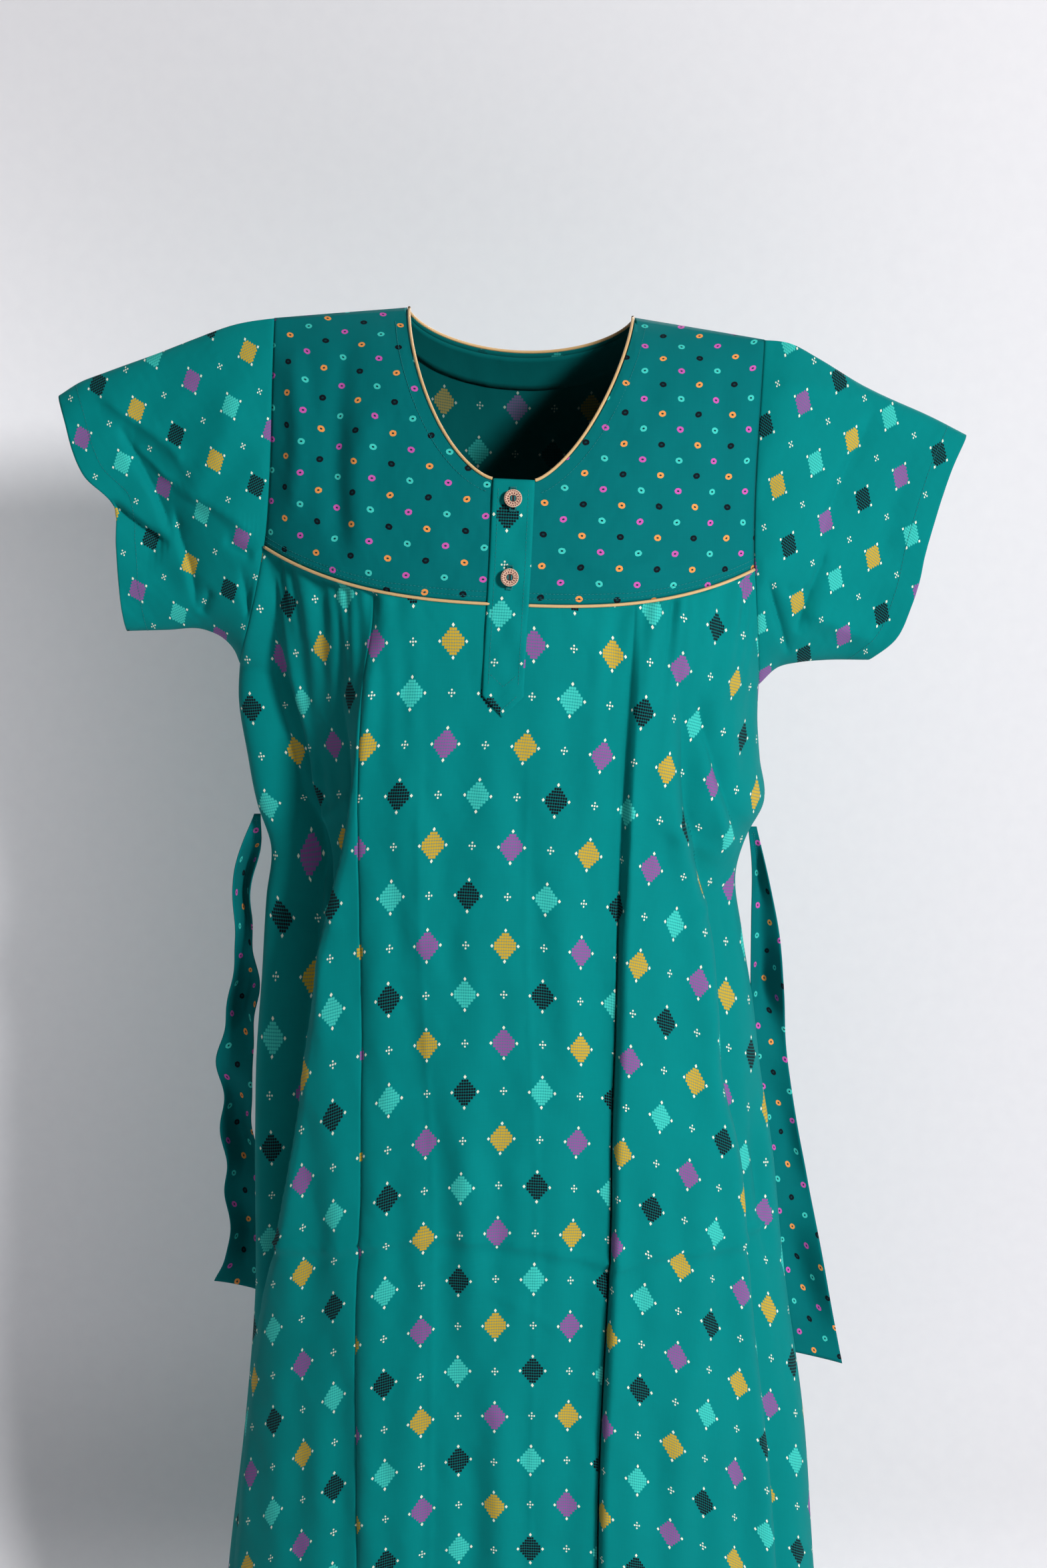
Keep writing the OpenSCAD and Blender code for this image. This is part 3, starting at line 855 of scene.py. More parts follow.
def folds_front(x, z):
    top = yoke_seam_z(x)
    below = top - z
    out = fold(x, z, [(a, b + 7) for a, b in F1], 5, 8, 30, top=0.08, power=1.4)
    # Left of the middle lobe's edge the cloth turns back
    back_by = through(F1, np.maximum(z, -GOWN_LENGTH)) - x
    turn_w = mix(40, 13, ease(-240, -420, z))
    out -= through([(-205, 5), (-243, 12), (-282, 20), (-326, 30), (-408, 40), (-500, 46),
                    (-700, 44), (-900, 38), (-1370, 26)], z) \
        * (0.7 * np.clip(back_by / turn_w, 0, 1) + 0.3 * np.clip(back_by / 55, 0, 1))
    out += fold(x, z, LEFT_FOLD, -9, 7, 15, top=0.1, foot=0.4, power=1.5)
    out += fold(x, z, [(a, b + 16) for a, b in LEFT_FOLD], 4, 7, 9, top=0.2, foot=0.3)
    out += fold(x, z, F3, [(-205, -1), (-300, -3), (-420, -6), (-700, -8), (-1370, -10)],
                32, 1.5, top=0.03, power=1.5)
    out += fold(x, z, [(a, b + 5) for a, b in F3], 7, 4, 32, top=0.12, power=1.5)
    out += fold(x, z, F2, [(-205, 0), (-340, -1), (-600, -2.5), (-1370, -3)], 9, 3, top=0.1,
                power=1.0)
    out += fold(x, z, FOLD_A, -15, 9, 16, top=0.1, power=1.5)
    out += fold(x, z, [(a, b - 20) for a, b in FOLD_A], 6, 14, 9, top=0.2)
    out += fold(x, z, FOLD_B, -12, 6, 9, top=0.25, foot=0.35, power=1.4)
    out += fold(x, z, FOLD_C, -8, 6, 9, top=0.3, foot=0.3, power=1.5)
    # The skirt's own waves, wider as they go down
    lower = ease(-380, -1000, z)
    out += 3.0 * lower * ripples(x, z, 140, 1200, 3)
    out += 1.3 * ease(-230, -420, z) * ripples(x, z, 60, 620, 4, 14)
    # Gathers under the yoke, between the flat middle and the arms
    full = ease(78, 110, np.abs(x)) * np.exp(-np.maximum(0, below) / 48)
    wave = np.cos(2 * np.pi * (x + 5 * np.sin(x / 11.0) + 0.10 * below * np.sign(x)) / 15)
    out += 1.7 * full * wave * (0.75 + 0.35 * ripples(x, z, 50, 400, 9))
    out += 1.9 * ease(60, 90, np.abs(x)) * np.exp(-np.maximum(0, below) / 140) \
        * ripples(x, z, 30, 260, 5)
    # Packing creases
    level = through([(-300, -830), (-179, -822), (-128, -806), (-56, -797), (11, -805),
                     (44, -814), (79, -824), (123, -817), (179, -820), (300, -828)], x)
    out += 3.2 * np.exp(-np.abs((z - level) / 4.0) ** 1.2)
    out -= 2.2 * np.exp(-((z - level + 12) / 9) ** 2)
    out += crease(x, z, [(-45, -835), (-6, -859), (34, -886), (45, -901)], 1.2, 4)
    for px in (-62, 30):
        out += 0.8 * np.exp(-np.abs((x - px - 0.02 * z) / 3) ** 1.3) * ease(-330, -420, z)
    out += 0.8 * np.exp(-np.abs((z + 560) / 3.5) ** 1.3) * ease(150, 60, np.abs(x))
    out += tugs(x, z, TUGS, 6)
    # Small wrinkles of the cotton
    out += 0.22 * ripples(x, z, 34, 80, 6, 24) + 0.07 * ripples(x, z, 12, 20, 7, 24)
    out -= 0.35 * np.abs(ripples(x, z, 120, 80, 8, 14)) * ease(-300, -420, z)
    quiet = ease(0, 10, edge_x(np.sign(x), z) - np.abs(x))
    flat = ease(0, 5, below)
    centre = 1 - (1 - ease(14, 34, np.abs(x + 1))) * ease(-345, -315, z)
    return out * quiet * flat * mix(0.25, 1, centre)


fx, fz, fp = front_shape()
front_run = run_along(fp, 1)
ref_x = through(COLUMN_DRIFT, fz[:, 150])
ref_run = np.array([np.interp(ref_x[i], fx[i], front_run[i]) for i in range(len(fx))])
front_u = front_run - ref_run[:, None] + COLUMN / 2
dip = (31 + 38 * ease(-300, -800, fz)) * np.abs((fx + 12) / 200) ** 2.2
front_v = ROW * 3 + (-fz - 396.5) - dip
front = Cloth("front_panel_cloth", fp, np.stack([front_u, front_v], -1), diamond, diamond_back_shaded)

# ---------------------------------------------------------------- back panel
BACK_ROWS, BACK_COLS = 170, 190


def back_shape():
    rows = np.linspace(0, 1, BACK_ROWS) ** 1.2
    z = np.repeat(mix(0, -GOWN_LENGTH, rows)[:, None], BACK_COLS, axis=1)
    s = np.linspace(1, -1, BACK_COLS)
    for _ in range(4):
        side = np.sign(s) + (s == 0)
        turn = np.pi / 2 * mix(0.78, 1, ease(-40, UNDERARM, z))
        x = edge_x(side, z) * np.sin(s * turn) / np.sin(turn)
        z = mix(back_top_z(x), -GOWN_LENGTH, rows[:, None])
    y = face_y(x, z, False)
    out = 5 * ease(-250, -900, z) * ripples(x, z, 120, 1200, 21)
    out += 3 * ease(-120, -400, z) * ripples(x, z, 60, 600, 22)
    out += 0.22 * ripples(x, z, 34, 80, 23, 24) + 0.07 * ripples(x, z, 12, 20, 24, 24)
    for at, lift in ((-120, 5), (-60, -5), (10, 5), (70, -5), (130, 5)):
        line = [(-150, at * 0.85), (-500, at * 0.8), (-900, at * 1.05), (-1370, at * 1.25)]
        out += fold(x, z, line, lift, 16, 16, top=0.35)
    for level in (-300, -830):
        out += 1.6 * np.exp(-np.abs((z - level - 4 * np.sin(x / 60)) / 4.5) ** 1.2)
    out += tugs(x, z, TUGS[:2], 7)
    quiet = ease(0, 12, edge_x(np.sign(x), z) - np.abs(x)) * ease(0, 8, back_top_z(x) - z)
    p = np.stack([x, y, z], -1)
    return x, z, p + normals_of(p) * (out * quiet)[..., None]


bx, bz, bp = back_shape()
back_run = run_along(bp, 1)
ref_run = np.array([np.interp(0, bx[i][::-1], back_run[i][::-1]) for i in range(len(bx))])
back_uv = np.stack([back_run - ref_run[:, None], run_along(bp, 0) - bz[:1]], -1)
back = Cloth("back_panel_cloth", bp, back_uv, diamond, diamond_back_shaded)

# ---------------------------------------------------------------- front yokes
YOKE_ROWS = 76


def yoke_shape(side):
    w = np.concatenate([np.linspace(0, 0.1, 6, endpoint=False),
                        np.linspace(0.1, 0.6, 62, endpoint=False), np.linspace(0.6, 1, 46)])
    a = np.clip((w - 0.1) / 0.5, 0, 1) * np.pi / 2
    nx, nz = neck_point(side, a)
    nx = np.abs(nx)
    top_x = np.where(w < 0.1, mix(8, PLACKET_W / 2, w / 0.1),
                     np.where(w < 0.6, nx, mix(NECK_W, SHOULDER_W, (w - 0.6) / 0.4)))
    top_z = np.where(w < 0.1, -NECK_DROP, np.where(w < 0.6, nz, shoulder_z(top_x)))
    v = np.linspace(0, 1, YOKE_ROWS)[:, None]
    x = np.repeat(top_x[None], YOKE_ROWS, axis=0)
    for _ in range(3):
        z = mix(top_z[None], yoke_seam_z(x) + 1.2, v)
        edge = edge_x(side, z)
        x = np.where(w > 0.6, mix(NECK_W, edge, (w - 0.6) / 0.4), top_x)
        x = np.minimum(x, edge)
    x = x * side
    y = face_y(x, z, True)
    out = 0.3 * ripples(x, z, 50, 90, 31 + side, 20) + 0.08 * ripples(x, z, 14, 26, 35 + side, 24)
    if side < 0:
        out += crease(x, z, [(-150, -20), (-152, -110), (-143, -215)], -4.6, 11)
        out += crease(x, z, [(-196, -25), (-185, -100), (-186, -185)], 3.6, 9)
        out += crease(x, z, [(-120, -60), (-132, -150), (-122, -222)], 3.0, 13)
    else:
        out += crease(x, z, [(40, -190), (90, -200), (140, -190)], 2.2, 7)
        out += crease(x, z, [(170, -30), (180, -110), (170, -190)], -3.0, 12)
        out += crease(x, z, [(60, -215), (120, -205), (170, -190)], 1.8, 5)
    edge_gap = edge_x(side, z) - np.abs(x)
    quiet = ease(0, 8, edge_gap) * ease(0, 6, z - yoke_seam_z(x)) * ease(0, 10, top_z[None] - z)
    p = np.stack([x, y, z], -1)
    if side < 0:
        p, x, z, out, quiet = (g[:, ::-1] for g in (p, x, z, out, quiet))
    n = normals_of(p)
    # The seams pull the cloth in a little
    pull = 0.9 * np.exp(-np.abs(z - yoke_seam_z(x)) / 2.5)
    pull = pull + 0.9 * np.exp(-np.abs(edge_x(side, z) - np.abs(x)) / 2.5)
    return x, z, p + n * (out * quiet - pull)[..., None]


def surface_run(x0, z0, x1, z1, steps=40):
    """Distance over the front's curve between two sets of places."""
    run, last = 0 * x0, face_y(x0, z0, True)
    for k in range(1, steps + 1):
        y = face_y(mix(x0, x1, k / steps), mix(z0, z1, k / steps), True)
        run = run + np.hypot(y - last, np.hypot(x1 - x0, z1 - z0) / steps)
        last = y
    return run


yokes = {}
for side, word in SIDES:
    x, z, p = yoke_shape(side)
    foot, top = yoke_seam_z(x), shoulder_z(x)
    v = -foot - (surface_run(x, top, x, foot) - surface_run(x, top, x, z))
    u = surface_run(0 * x, z, x, z) * np.sign(x)
    yokes[side] = Cloth(f"yoke_{word}_cloth", p, np.stack([u + 6, v - 226], -1), ring, ring_back_shaded)

# ---------------------------------------------------------------- sleeves
# Where each sleeve's edges are seen, the step of its print from one diamond to the next along and
# across the rows, a diamond's place, and its creases: (line, height, width below or left of it,
# width above or right of it, sharpness)
SLEEVES = {
    -1: dict(
        top=[(-251, -9), (-285, -18), (-328, -32), (-365, -45), (-384, -52), (-404, -64)],
        hem=[(-404, -64), (-397, -85), (-390, -111), (-381, -131), (-357, -156), (-355, -194),
             (-354, -245), (-352, -271)],
        low=[(-256, -287), (-266, -276), (-282, -269), (-318, -270), (-352, -271)],
        column=(48.7, 24.4), row=(10.8, -33.3), anchor=(-333, -75), first=1,
        folds=[([(-375, -57), (-344, -78), (-313, -99), (-298, -112), (-288, -133)],
                5, 5, 14, 1.4),
               ([(-352, -84), (-335, -115), (-320, -144), (-302, -190)], -9, 3, 17, 1.2),
               ([(-345, -97), (-325, -115), (-301, -136), (-288, -141)], 3, 3, 5, 1.3),
               ([(-306, -140), (-288, -147), (-265, -157), (-226, -182)], 6, 4, 11, 1.3),
               ([(-362, -150), (-335, -173), (-304, -193)], -10, 15, 2.5, 1.2),
               ([(-303, -152), (-298, -184), (-290, -211), (-286, -251)], -7, 3, 10, 1.2),
               ([(-258, -183), (-244, -192), (-229, -201)], -3.5, 4, 5, 1.4),
               ([(-243, -205), (-239, -237), (-232, -272), (-233, -315)], -7, 3, 7, 1.3),
               ([(-272, -227), (-275, -238), (-284, -254)], -4, 4, 5, 1.5),
               ([(-240, -60), (-262, -110), (-292, -150)], 4, 14, 14, 2.0)]),
    1: dict(
        top=[(232, -25), (259, -36), (299, -56), (324, -67), (359, -82), (391, -98)],
        hem=[(391, -98), (377, -125), (368, -151), (361, -175), (354, -203), (351, -222),
             (344, -248), (334, -274), (311, -297)],
        low=[(231, -303), (248, -299), (273, -297), (311, -297)],
        column=(43.8, -31.8), row=(-11.5, -34.9), anchor=(244, -69), first=0,
        folds=[([(312, -70), (292, -104), (277, -136), (260, -184), (255, -211)], -7, 5, 20, 1.4),
               ([(267, -190), (255, -222), (245, -251), (241, -272)], -8, 3, 8, 1.2),
               ([(212, -216), (224, -251), (238, -292)], -7, 3, 5, 1.2),
               ([(226, -224), (237, -230), (255, -227)], -3, 4, 4, 1.3),
               ([(210, -57), (261, -60), (308, -66)], 3, 9, 9, 2.0),
               ([(244, -247), (272, -260), (320, -281)], 5, 9, 16, 1.6),
               ([(345, -120), (325, -160), (318, -210)], -3, 12, 14, 2.0)]),
}
SLEEVE_ROWS, SLEEVE_COLS = 110, 96


def coons(top, low, start, end):
    """Fills four lines with a grid; rows run from top to low, columns from start to end."""
    a = np.linspace(0, 1, len(start))[:, None, None]
    s = np.linspace(0, 1, len(top))[None, :, None]
    ruled = mix(top[None], low[None], a) + mix(start[:, None], end[:, None], s)
    return ruled - mix(mix(top[0], top[-1], s), mix(low[0], low[-1], s), a)


def sleeve_shape(side, front):
    spec = SLEEVES[side]
    # Rows bunch up towards the folded top and bottom, where the cloth turns round
    turn = (1 - np.cos(np.linspace(0, np.pi, SLEEVE_ROWS))) / 2
    az = mix(-SHOULDER_FALL, UNDERARM, turn)
    start = np.stack([side * edge_x(side, az), az], 1)
    start_y = face_y(start[:, 0], az, front)
    top = path_through([tuple(start[0])] + upright(spec["top"]), SLEEVE_COLS)
    low = path_through([tuple(start[-1])] + upright(spec["low"]), SLEEVE_COLS)
    end = sample(path_through(upright(spec["hem"]), 400), np.linspace(0, 1, 400), turn)
    if side < 0 and not front:
        end[:, 0] -= 7 * ease(0.45, 0.6, turn) * ease(1.0, 0.9, turn)
    g = coons(top, low, start, end)
    x, z = g[..., 0], g[..., 1]
    s = np.linspace(0, 1, SLEEVE_COLS)[None]
    round_ = np.sin(np.pi * np.linspace(0, 1, SLEEVE_ROWS))[:, None] ** 0.9
    way = -1 if front else 1
    hem_y = way * 27 * round_
    y = mix(start_y[:, None], hem_y, ease(0, 0.8, s)) + way * 4 * round_ * np.sin(np.pi * s)
    seed = 50 + side * 3 + (1 if front else 0)
    out = 0.5 * ripples(x, z, 60, 60, seed, 20) + 0.1 * ripples(x, z, 14, 16, seed + 20, 24)
    if front:
        for points, depth, width, other, power in spec["folds"]:
            out = out + crease(x, z, upright(points), depth, width, other, power)
    else:
        out = out + 2.5 * ripples(x, z, 60, 50, seed + 40)
    quiet = ease(0, 0.06, s) * ease(0, 0.25, round_)
    out = out * quiet - 0.9 * np.exp(-s * 76)
    seen = hang(np.stack([x, 0 * x, z], -1))
    dx, dz = seen[..., 0] - spec["anchor"][0], seen[..., 2] - spec["anchor"][1]
    if not front:
        # The print carries on over the folded top edge
        slope = (top[-1] - top[0]) / np.linalg.norm(top[-1] - top[0])
        away = top[0] - g
        off = away - slope * (away * slope).sum(-1, keepdims=True)
        dx, dz = dx + 2 * off[..., 0], dz + 2 * off[..., 1]
    (cx, cz), (rx, rz) = spec["column"], spec["row"]
    scale = cx * rz - cz * rx
    u = COLUMN * ((dx * rz - dz * rx) / scale + spec["first"])
    v = ROW * ((cx * dz - cz * dx) / scale + 2)
    p = np.stack([x, y + way * out, z], -1)
    uv = np.stack([u, v], -1)
    # Columns have to run to the right as seen from outside
    if (side < 0) == front:
        p, uv = p[:, ::-1], uv[:, ::-1]
    return p, uv


sleeves = {}
for side, word in SIDES:
    for front_face, face in ((True, "front"), (False, "back")):
        p, uv = sleeve_shape(side, front_face)
        sleeves[side, front_face] = Cloth(f"sleeve_{word}_{face}", p, uv, diamond, diamond_back_shaded)
    turns = []
    for front_face in (True, False):
        cols = slice(-11, None) if (side > 0) == front_face else slice(0, 11)
        turns.append(lining("turn", sleeves[side, front_face], slice(3, -3), cols, 1.0,
                            diamond_back_shaded).obj)
    sleeves[side, "turn"] = join(f"sleeve_{word}_turned_hem", turns)

# ---------------------------------------------------------------- placket
def placket_cloth(name, top, end, point, lift, outer, cols, rows, half=PLACKET_W / 2):
    s = np.linspace(-1, 1, cols)[None]
    v = np.linspace(0, 1, rows)[:, None]
    x = np.repeat(s * half, rows, axis=0) - 1.5 * ease(-180, -320, -mix(top, end, v))
    z = -mix(top, end - point * np.abs(s), v)
    p = np.stack([x, face_y(x, z, True), z], -1)
    wave = 0.35 * ripples(x, z, 30, 60, 61)
    soft = 0.8 * np.exp(-(half - np.abs(s * half)) / 1.2)
    p = p + normals_of(p) * (lift + wave - (soft if point else 0))[..., None]
    drift = through([(-131, -4), (-159, -4), (-232, -6), (-315, -12), (-340, -13)], z)
    uv = np.stack([COLUMN / 2 + x - drift, ROW + (-z - 159) * 1.07], -1)
    return Cloth(name, p, uv, outer, inner_cotton, thick=0.9 if point else 0.7)


placket = placket_cloth("placket_front_band", NECK_DROP - 1, 328, 18, 2.0, diamond, 25, 90)
underlap = placket_cloth("placket_under_band", NECK_DROP + 2, 309, 0, -2.2, inner_cotton, 13, 60)

# ---------------------------------------------------------------- ties
TIES = {
    -1: dict(near=[(-238, -440), (-239, -470), (-248, -503), (-252, -548), (-247, -594),
                   (-251, -640), (-257, -717), (-254, -796), (-254, -860), (-256, -922)],
             far=[(-244, -440), (-262, -488), (-266, -563), (-275, -624), (-288, -681),
                  (-286, -741), (-284, -790), (-282, -844), (-283, -880), (-298, -912)],
             depth=18),
    1: dict(near=[(208, -452), (212, -480), (214, -540), (216, -612), (220, -690), (236, -768),
                  (243, -848), (255, -913), (262, -950), (267, -986)],
            far=[(216, -452), (229, -506), (239, -551), (246, -612), (254, -690), (266, -760),
                 (275, -805), (284, -848), (298, -920), (315, -1000)],
            depth=13),
}


def tie_shape(side):
    spec = TIES[side]
    near = path_through(upright(spec["near"]), 150)
    far = path_through(upright(spec["far"]), 150)
    t = np.linspace(0, 1, 150)[:, None]
    s = np.linspace(0, 1, 21)[None]
    xz = near[:, None] + (far - near)[:, None] * s[..., None]
    x, z = xz[..., 0], xz[..., 1]
    r = ripples(t * 100 + 0 * s, s * 30 + 0 * t, 22, 50, 70 + side)
    # The cut width is more than is seen, so the tie is folded along its length
    fold_y = spec["depth"] * np.sin(np.pi * s * (1 + 0.25 * np.sin(t * 9))) * ease(0, 0.12, t)
    fold_y = fold_y * mix(1, 0.45, ease(0.6, 0.95, t)) * (0.75 + 0.25 * np.sin(t * 23 + side))
    y = 3 + 34 * ease(0, 0.5, t) + 2.5 * r * ease(0.03, 0.2, t) + fold_y - 8 * ease(0, 0.5, t)
    if side < 0:
        x = x + 2.0 * ripples(t * 100 + 0 * s, s * 10 + 0 * t, 16, 60, 80) * ease(0.05, 0.3, t) * \
            ease(1, 0.9, t)
    p = np.stack([x, y, z], -1)
    if side < 0:
        p = p[:, ::-1]
    run = run_along(p, 1)
    uv = np.stack([run_along(p, 0)[:, 10:11] + 0 * run, run + 5], -1)
    return p, uv


ties = {}
for side, word in SIDES:
    p, uv = tie_shape(side)
    ties[side] = Cloth(f"tie_{word}_cloth", p, uv, ring, ring_back_shaded, thick=1.0)

# ---------------------------------------------------------------- piping
def neck_piping_path():
    inset = PIPING_R + 0.4
    a = np.linspace(0.02, np.pi / 2, 60, endpoint=False)
    arms = {}
    for side in (-1, 1):
        nx, nz = neck_point(side, a)
        y = face_y(nx + side * 0.5, nz, True)
        arms[side] = np.stack([nx - side * inset * np.sin(a), y - 0.6, nz + inset * 0.8], 1)
    bx_ = np.linspace(NECK_W - inset, -NECK_W + inset, 60)
    back_line = np.stack([bx_, face_y(bx_, back_neck_z(bx_), False) * (np.abs(bx_) < NECK_W - 3),
                          back_neck_z(bx_) + inset * 0.8], 1)
    return np.concatenate([arms[1], back_line, arms[-1][::-1]])


neck_piping = tube("neck_piping_cord", hang(neck_piping_path()), PIPING_R, piping_satin)
yoke_piping = {}
for side, word in SIDES:
    x = side * np.linspace(PLACKET_W / 2 - 1.5, edge_x(side, -200.0) - 0.5, 90)
    z = yoke_seam_z(x)
    path = np.stack([x, face_y(x, z, True), z], -1)
    lifted = path + np.array([0, -1, 0.1]) * (PIPING_R * 0.55)
    yoke_piping[side] = tube(f"yoke_piping_{word}_cord", hang(lifted), PIPING_R, piping_satin)

# ---------------------------------------------------------------- inner strips
hem_front, hem_back = (
    lining(f"hem_{word}_turn", cloth, slice(-turned, None), slice(2, -2), ALLOWANCE_GAP,
           inner_cotton) for word, cloth, turned in (("front", front, 8), ("back", back, 5)))
facing = []
for side in (-1, 1):
    c = slice(8, 66) if side > 0 else slice(-66, -8)
    facing.append(lining("facing", yokes[side], slice(1, 13), c, ALLOWANCE_GAP,
                         inner_cotton).obj)
neck_facing = join("neck_facing_front_strip", facing)
facing_back = lining("neck_facing_back_strip", back, slice(1, 8),
                     slice(58, BACK_COLS - 58), ALLOWANCE_GAP, inner_cotton)
allowances = {}
for side, word in SIDES:
    def strip(name, cloth, rows, first, last):
        """first and last count columns in from the cloth's edge at this side."""
        cols = slice(-last, -first) if side > 0 else slice(first, last)
        return lining(name, cloth, rows, cols, ALLOWANCE_GAP, inner_cotton).obj

    allowances["armhole", side] = join(f"armhole_allowance_{word}", [
        strip("yoke", yokes[side], slice(10, 70), 1, 6),
        strip("panel", front, slice(1, 12), 1, 16)])
    allowances["side", side] = strip(f"side_allowance_{word}", front, slice(30, -12), 1, 14)
    allowances["shoulder", side] = strip(f"shoulder_allowance_{word}", yokes[side],
                                         slice(1, 5), 4, 44)

# ---------------------------------------------------------------- stitching
def track(cloth, rows, cols):
    rows, cols = np.broadcast_arrays(np.asarray(rows, float), np.asarray(cols, float))
    return cloth.at(rows, cols)


def neck_track(side):
    """A line at an even distance from the neck's edge."""
    nx, nz = neck_point(side, np.linspace(0.05, np.pi / 2 - 0.02, 220))
    tx, tz = np.gradient(nx), np.gradient(nz)
    x = nx + NECK_STITCH * np.abs(tz) / np.hypot(tx, tz) * side
    z = nz - NECK_STITCH * np.abs(tx) / np.hypot(tx, tz)
    line = hang(np.stack([x, face_y(x, z, True), z], -1))
    gx = face_y(x + 0.5, z, True) - face_y(x - 0.5, z, True)
    gz = face_y(x, z + 0.5, True) - face_y(x, z - 0.5, True)
    normal = unit(np.stack([gx, -np.ones_like(gx), gz], 1))
    keep = (x * side < NECK_W + 9) & (z < -6)
    return line[keep] + normal[keep] * 0.25, normal[keep]


stitch_pieces = {}
for side, word in SIDES:
    yoke = yokes[side]
    n = yoke.p.shape[1]
    cols = np.linspace(0, n - 1, 260)[::side]
    height = np.interp(cols, np.arange(n), run_along(yoke.p, 0)[-1])
    tracks = [track(yoke, (YOKE_ROWS - 1) * (1 - up / height), cols) for up in YOKE_STITCHES]
    stitch_pieces["yoke", side] = stitches(f"yoke_{word}_stitches", tracks + [neck_track(side)],
                                           sewing_thread)
    tracks = []
    for front_face in (True, False):
        g = sleeves[side, front_face]
        n = g.p.shape[1]
        rows = np.linspace(2, SLEEVE_ROWS - 3, 240)
        wide = np.interp(rows, np.arange(SLEEVE_ROWS), run_along(g.p, 1)[:, -1])
        inward = (n - 1) * SLEEVE_HEM_STITCH / wide
        tracks.append(track(g, rows, n - 1 - inward if (side > 0) == front_face else inward))
    stitch_pieces["sleeve", side] = stitches(f"sleeve_{word}_hem_stitches", tracks, sewing_thread)
rows_p, cols_p = placket.p.shape[:2]
edges = (3.4, cols_p - 4.4)
across = np.linspace(*edges, 80)
slit_row = (297 - NECK_DROP) / (322 - NECK_DROP) * (rows_p - 1)
tracks = [track(placket, np.linspace(3, rows_p - 8, 200), c) for c in edges]
tracks += [track(placket, slit_row, np.linspace(*edges, 60)), track(placket, rows_p - 4, across)]
stitch_pieces["placket", 0] = stitches("placket_stitches", tracks, sewing_thread)
for key, cloth, word, count in ((1, front, "front", 900), (-1, back, "back", 700)):
    run = run_along(cloth.p, 0)
    row = len(run) - 1 - HEM_STITCH / (run[-1].mean() - run[-2].mean())
    cols = np.linspace(2, cloth.p.shape[1] - 3, count)
    stitch_pieces["hem", key] = stitches(f"hem_{word}_stitches", [track(cloth, row, cols)],
                                         sewing_thread, length=3.0, pitch=4.2)


# ---------------------------------------------------------------- buttonholes, buttons and tacks
def on_placket(drop):
    """Origin and axes of a place on the placket: right, up the front, and out of the cloth."""
    slope = np.arctan(FRONT_DEPTH / DEPTH_LENGTH * np.exp(-drop / DEPTH_LENGTH))
    lean = np.arctan(LEAN)
    y = float(face_y(np.array(0.0), np.array(-float(drop)), True)) + SEAM_GAP - PLACKET_FACE
    right = np.array([np.cos(lean), 0, -np.sin(lean)])
    up = np.array([np.cos(slope) * np.sin(lean), np.sin(slope), np.cos(slope) * np.cos(lean)])
    out = -np.cross(right, up)
    return hang(np.array([0.0, y, -drop])), right, up, out * (1 if out[1] < 0 else -1)


def buttonhole(drop):
    """Close stitches down both sides of the slit, and a bar at each end."""
    origin, right, up, out = on_placket(drop)
    origin = origin + out * 2.35
    tracks = []
    for sign in (-1, 1):
        for h in (np.arange(34) - 16.5) * 0.52:
            tracks.append([origin + up * h + right * sign * w for w in (1.55, 3.0)])
    for sign in (-1, 1):
        for w in (np.arange(7) - 3) * 0.75:
            tracks.append([origin + up * sign * h + right * w for h in (8.7, 10.6)])
    return [(np.array(t), np.array([out, out])) for t in tracks]


buttonholes = stitches("buttonhole_edging", [t for d in BUTTONS.values() for t in buttonhole(d)],
                       sewing_thread, length=1.4, pitch=0.04, width=0.5)
for word, drop in BUTTONS.items():
    origin, right, up, out = on_placket(drop)
    resin = painted_button(f"button_{word}_resin", origin, right, up)
    for name, look in ((f"button_{word}", resin), (f"button_thread_{word}", sewing_thread)):
        slots = bpy.data.objects[name].data.materials
        slots.clear()
        slots.append(look)

tacks = {}
for side, word in SIDES:
    t = ties[side]
    wide = np.linspace(2, t.p.shape[1] - 3, 40)
    tacks[side] = stitches(f"tie_tack_{word}_stitches",
                           [track(t, 2, wide), track(t, 5, wide),
                            track(t, np.linspace(1, 9, 40), t.p.shape[1] / 2)],
                           sewing_thread, length=1.8, pitch=2.2)

# ---------------------------------------------------------------- joining the pieces to the frame
on_gown = [
    (front.obj, "front_panel", "diamond_cotton"), (back.obj, "back_panel", "diamond_cotton"),
    (placket.obj, "placket_overlap", "diamond_cotton"),
    (underlap.obj, "placket_underlap", "inner_cotton"),
    (buttonholes, "buttonhole_stitches", "sewing_thread"),
    (neck_piping, "neck_piping", "piping_satin"),
    (neck_facing, "neck_facing_front", "inner_cotton"),
    (facing_back.obj, "neck_facing_back", "inner_cotton"),
    (hem_front.obj, "hem_front", "inner_cotton"), (hem_back.obj, "hem_back", "inner_cotton"),
    (stitch_pieces["placket", 0], None, "sewing_thread"),
    (stitch_pieces["hem", 1], None, "sewing_thread"),
    (stitch_pieces["hem", -1], None, "sewing_thread")]
for side, word in SIDES:
    on_gown += [(yokes[side].obj, f"yoke_front_{word}", "ring_cotton"),
                (yoke_piping[side], f"yoke_piping_{word}", "piping_satin"),
                (tacks[side], f"tie_tack_{word}", "sewing_thread"),
                (stitch_pieces["yoke", side], None, "sewing_thread")]
    on_gown += [(allowances[seam, side], f"{seam}_seam_{word}", "inner_cotton")
                for seam in ("armhole", "side", "shoulder")]
for piece, node, slot in on_gown:
    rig.ride(piece, "gown")
    if node:
        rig.replaces(piece, node)
    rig.slot(piece, slot)

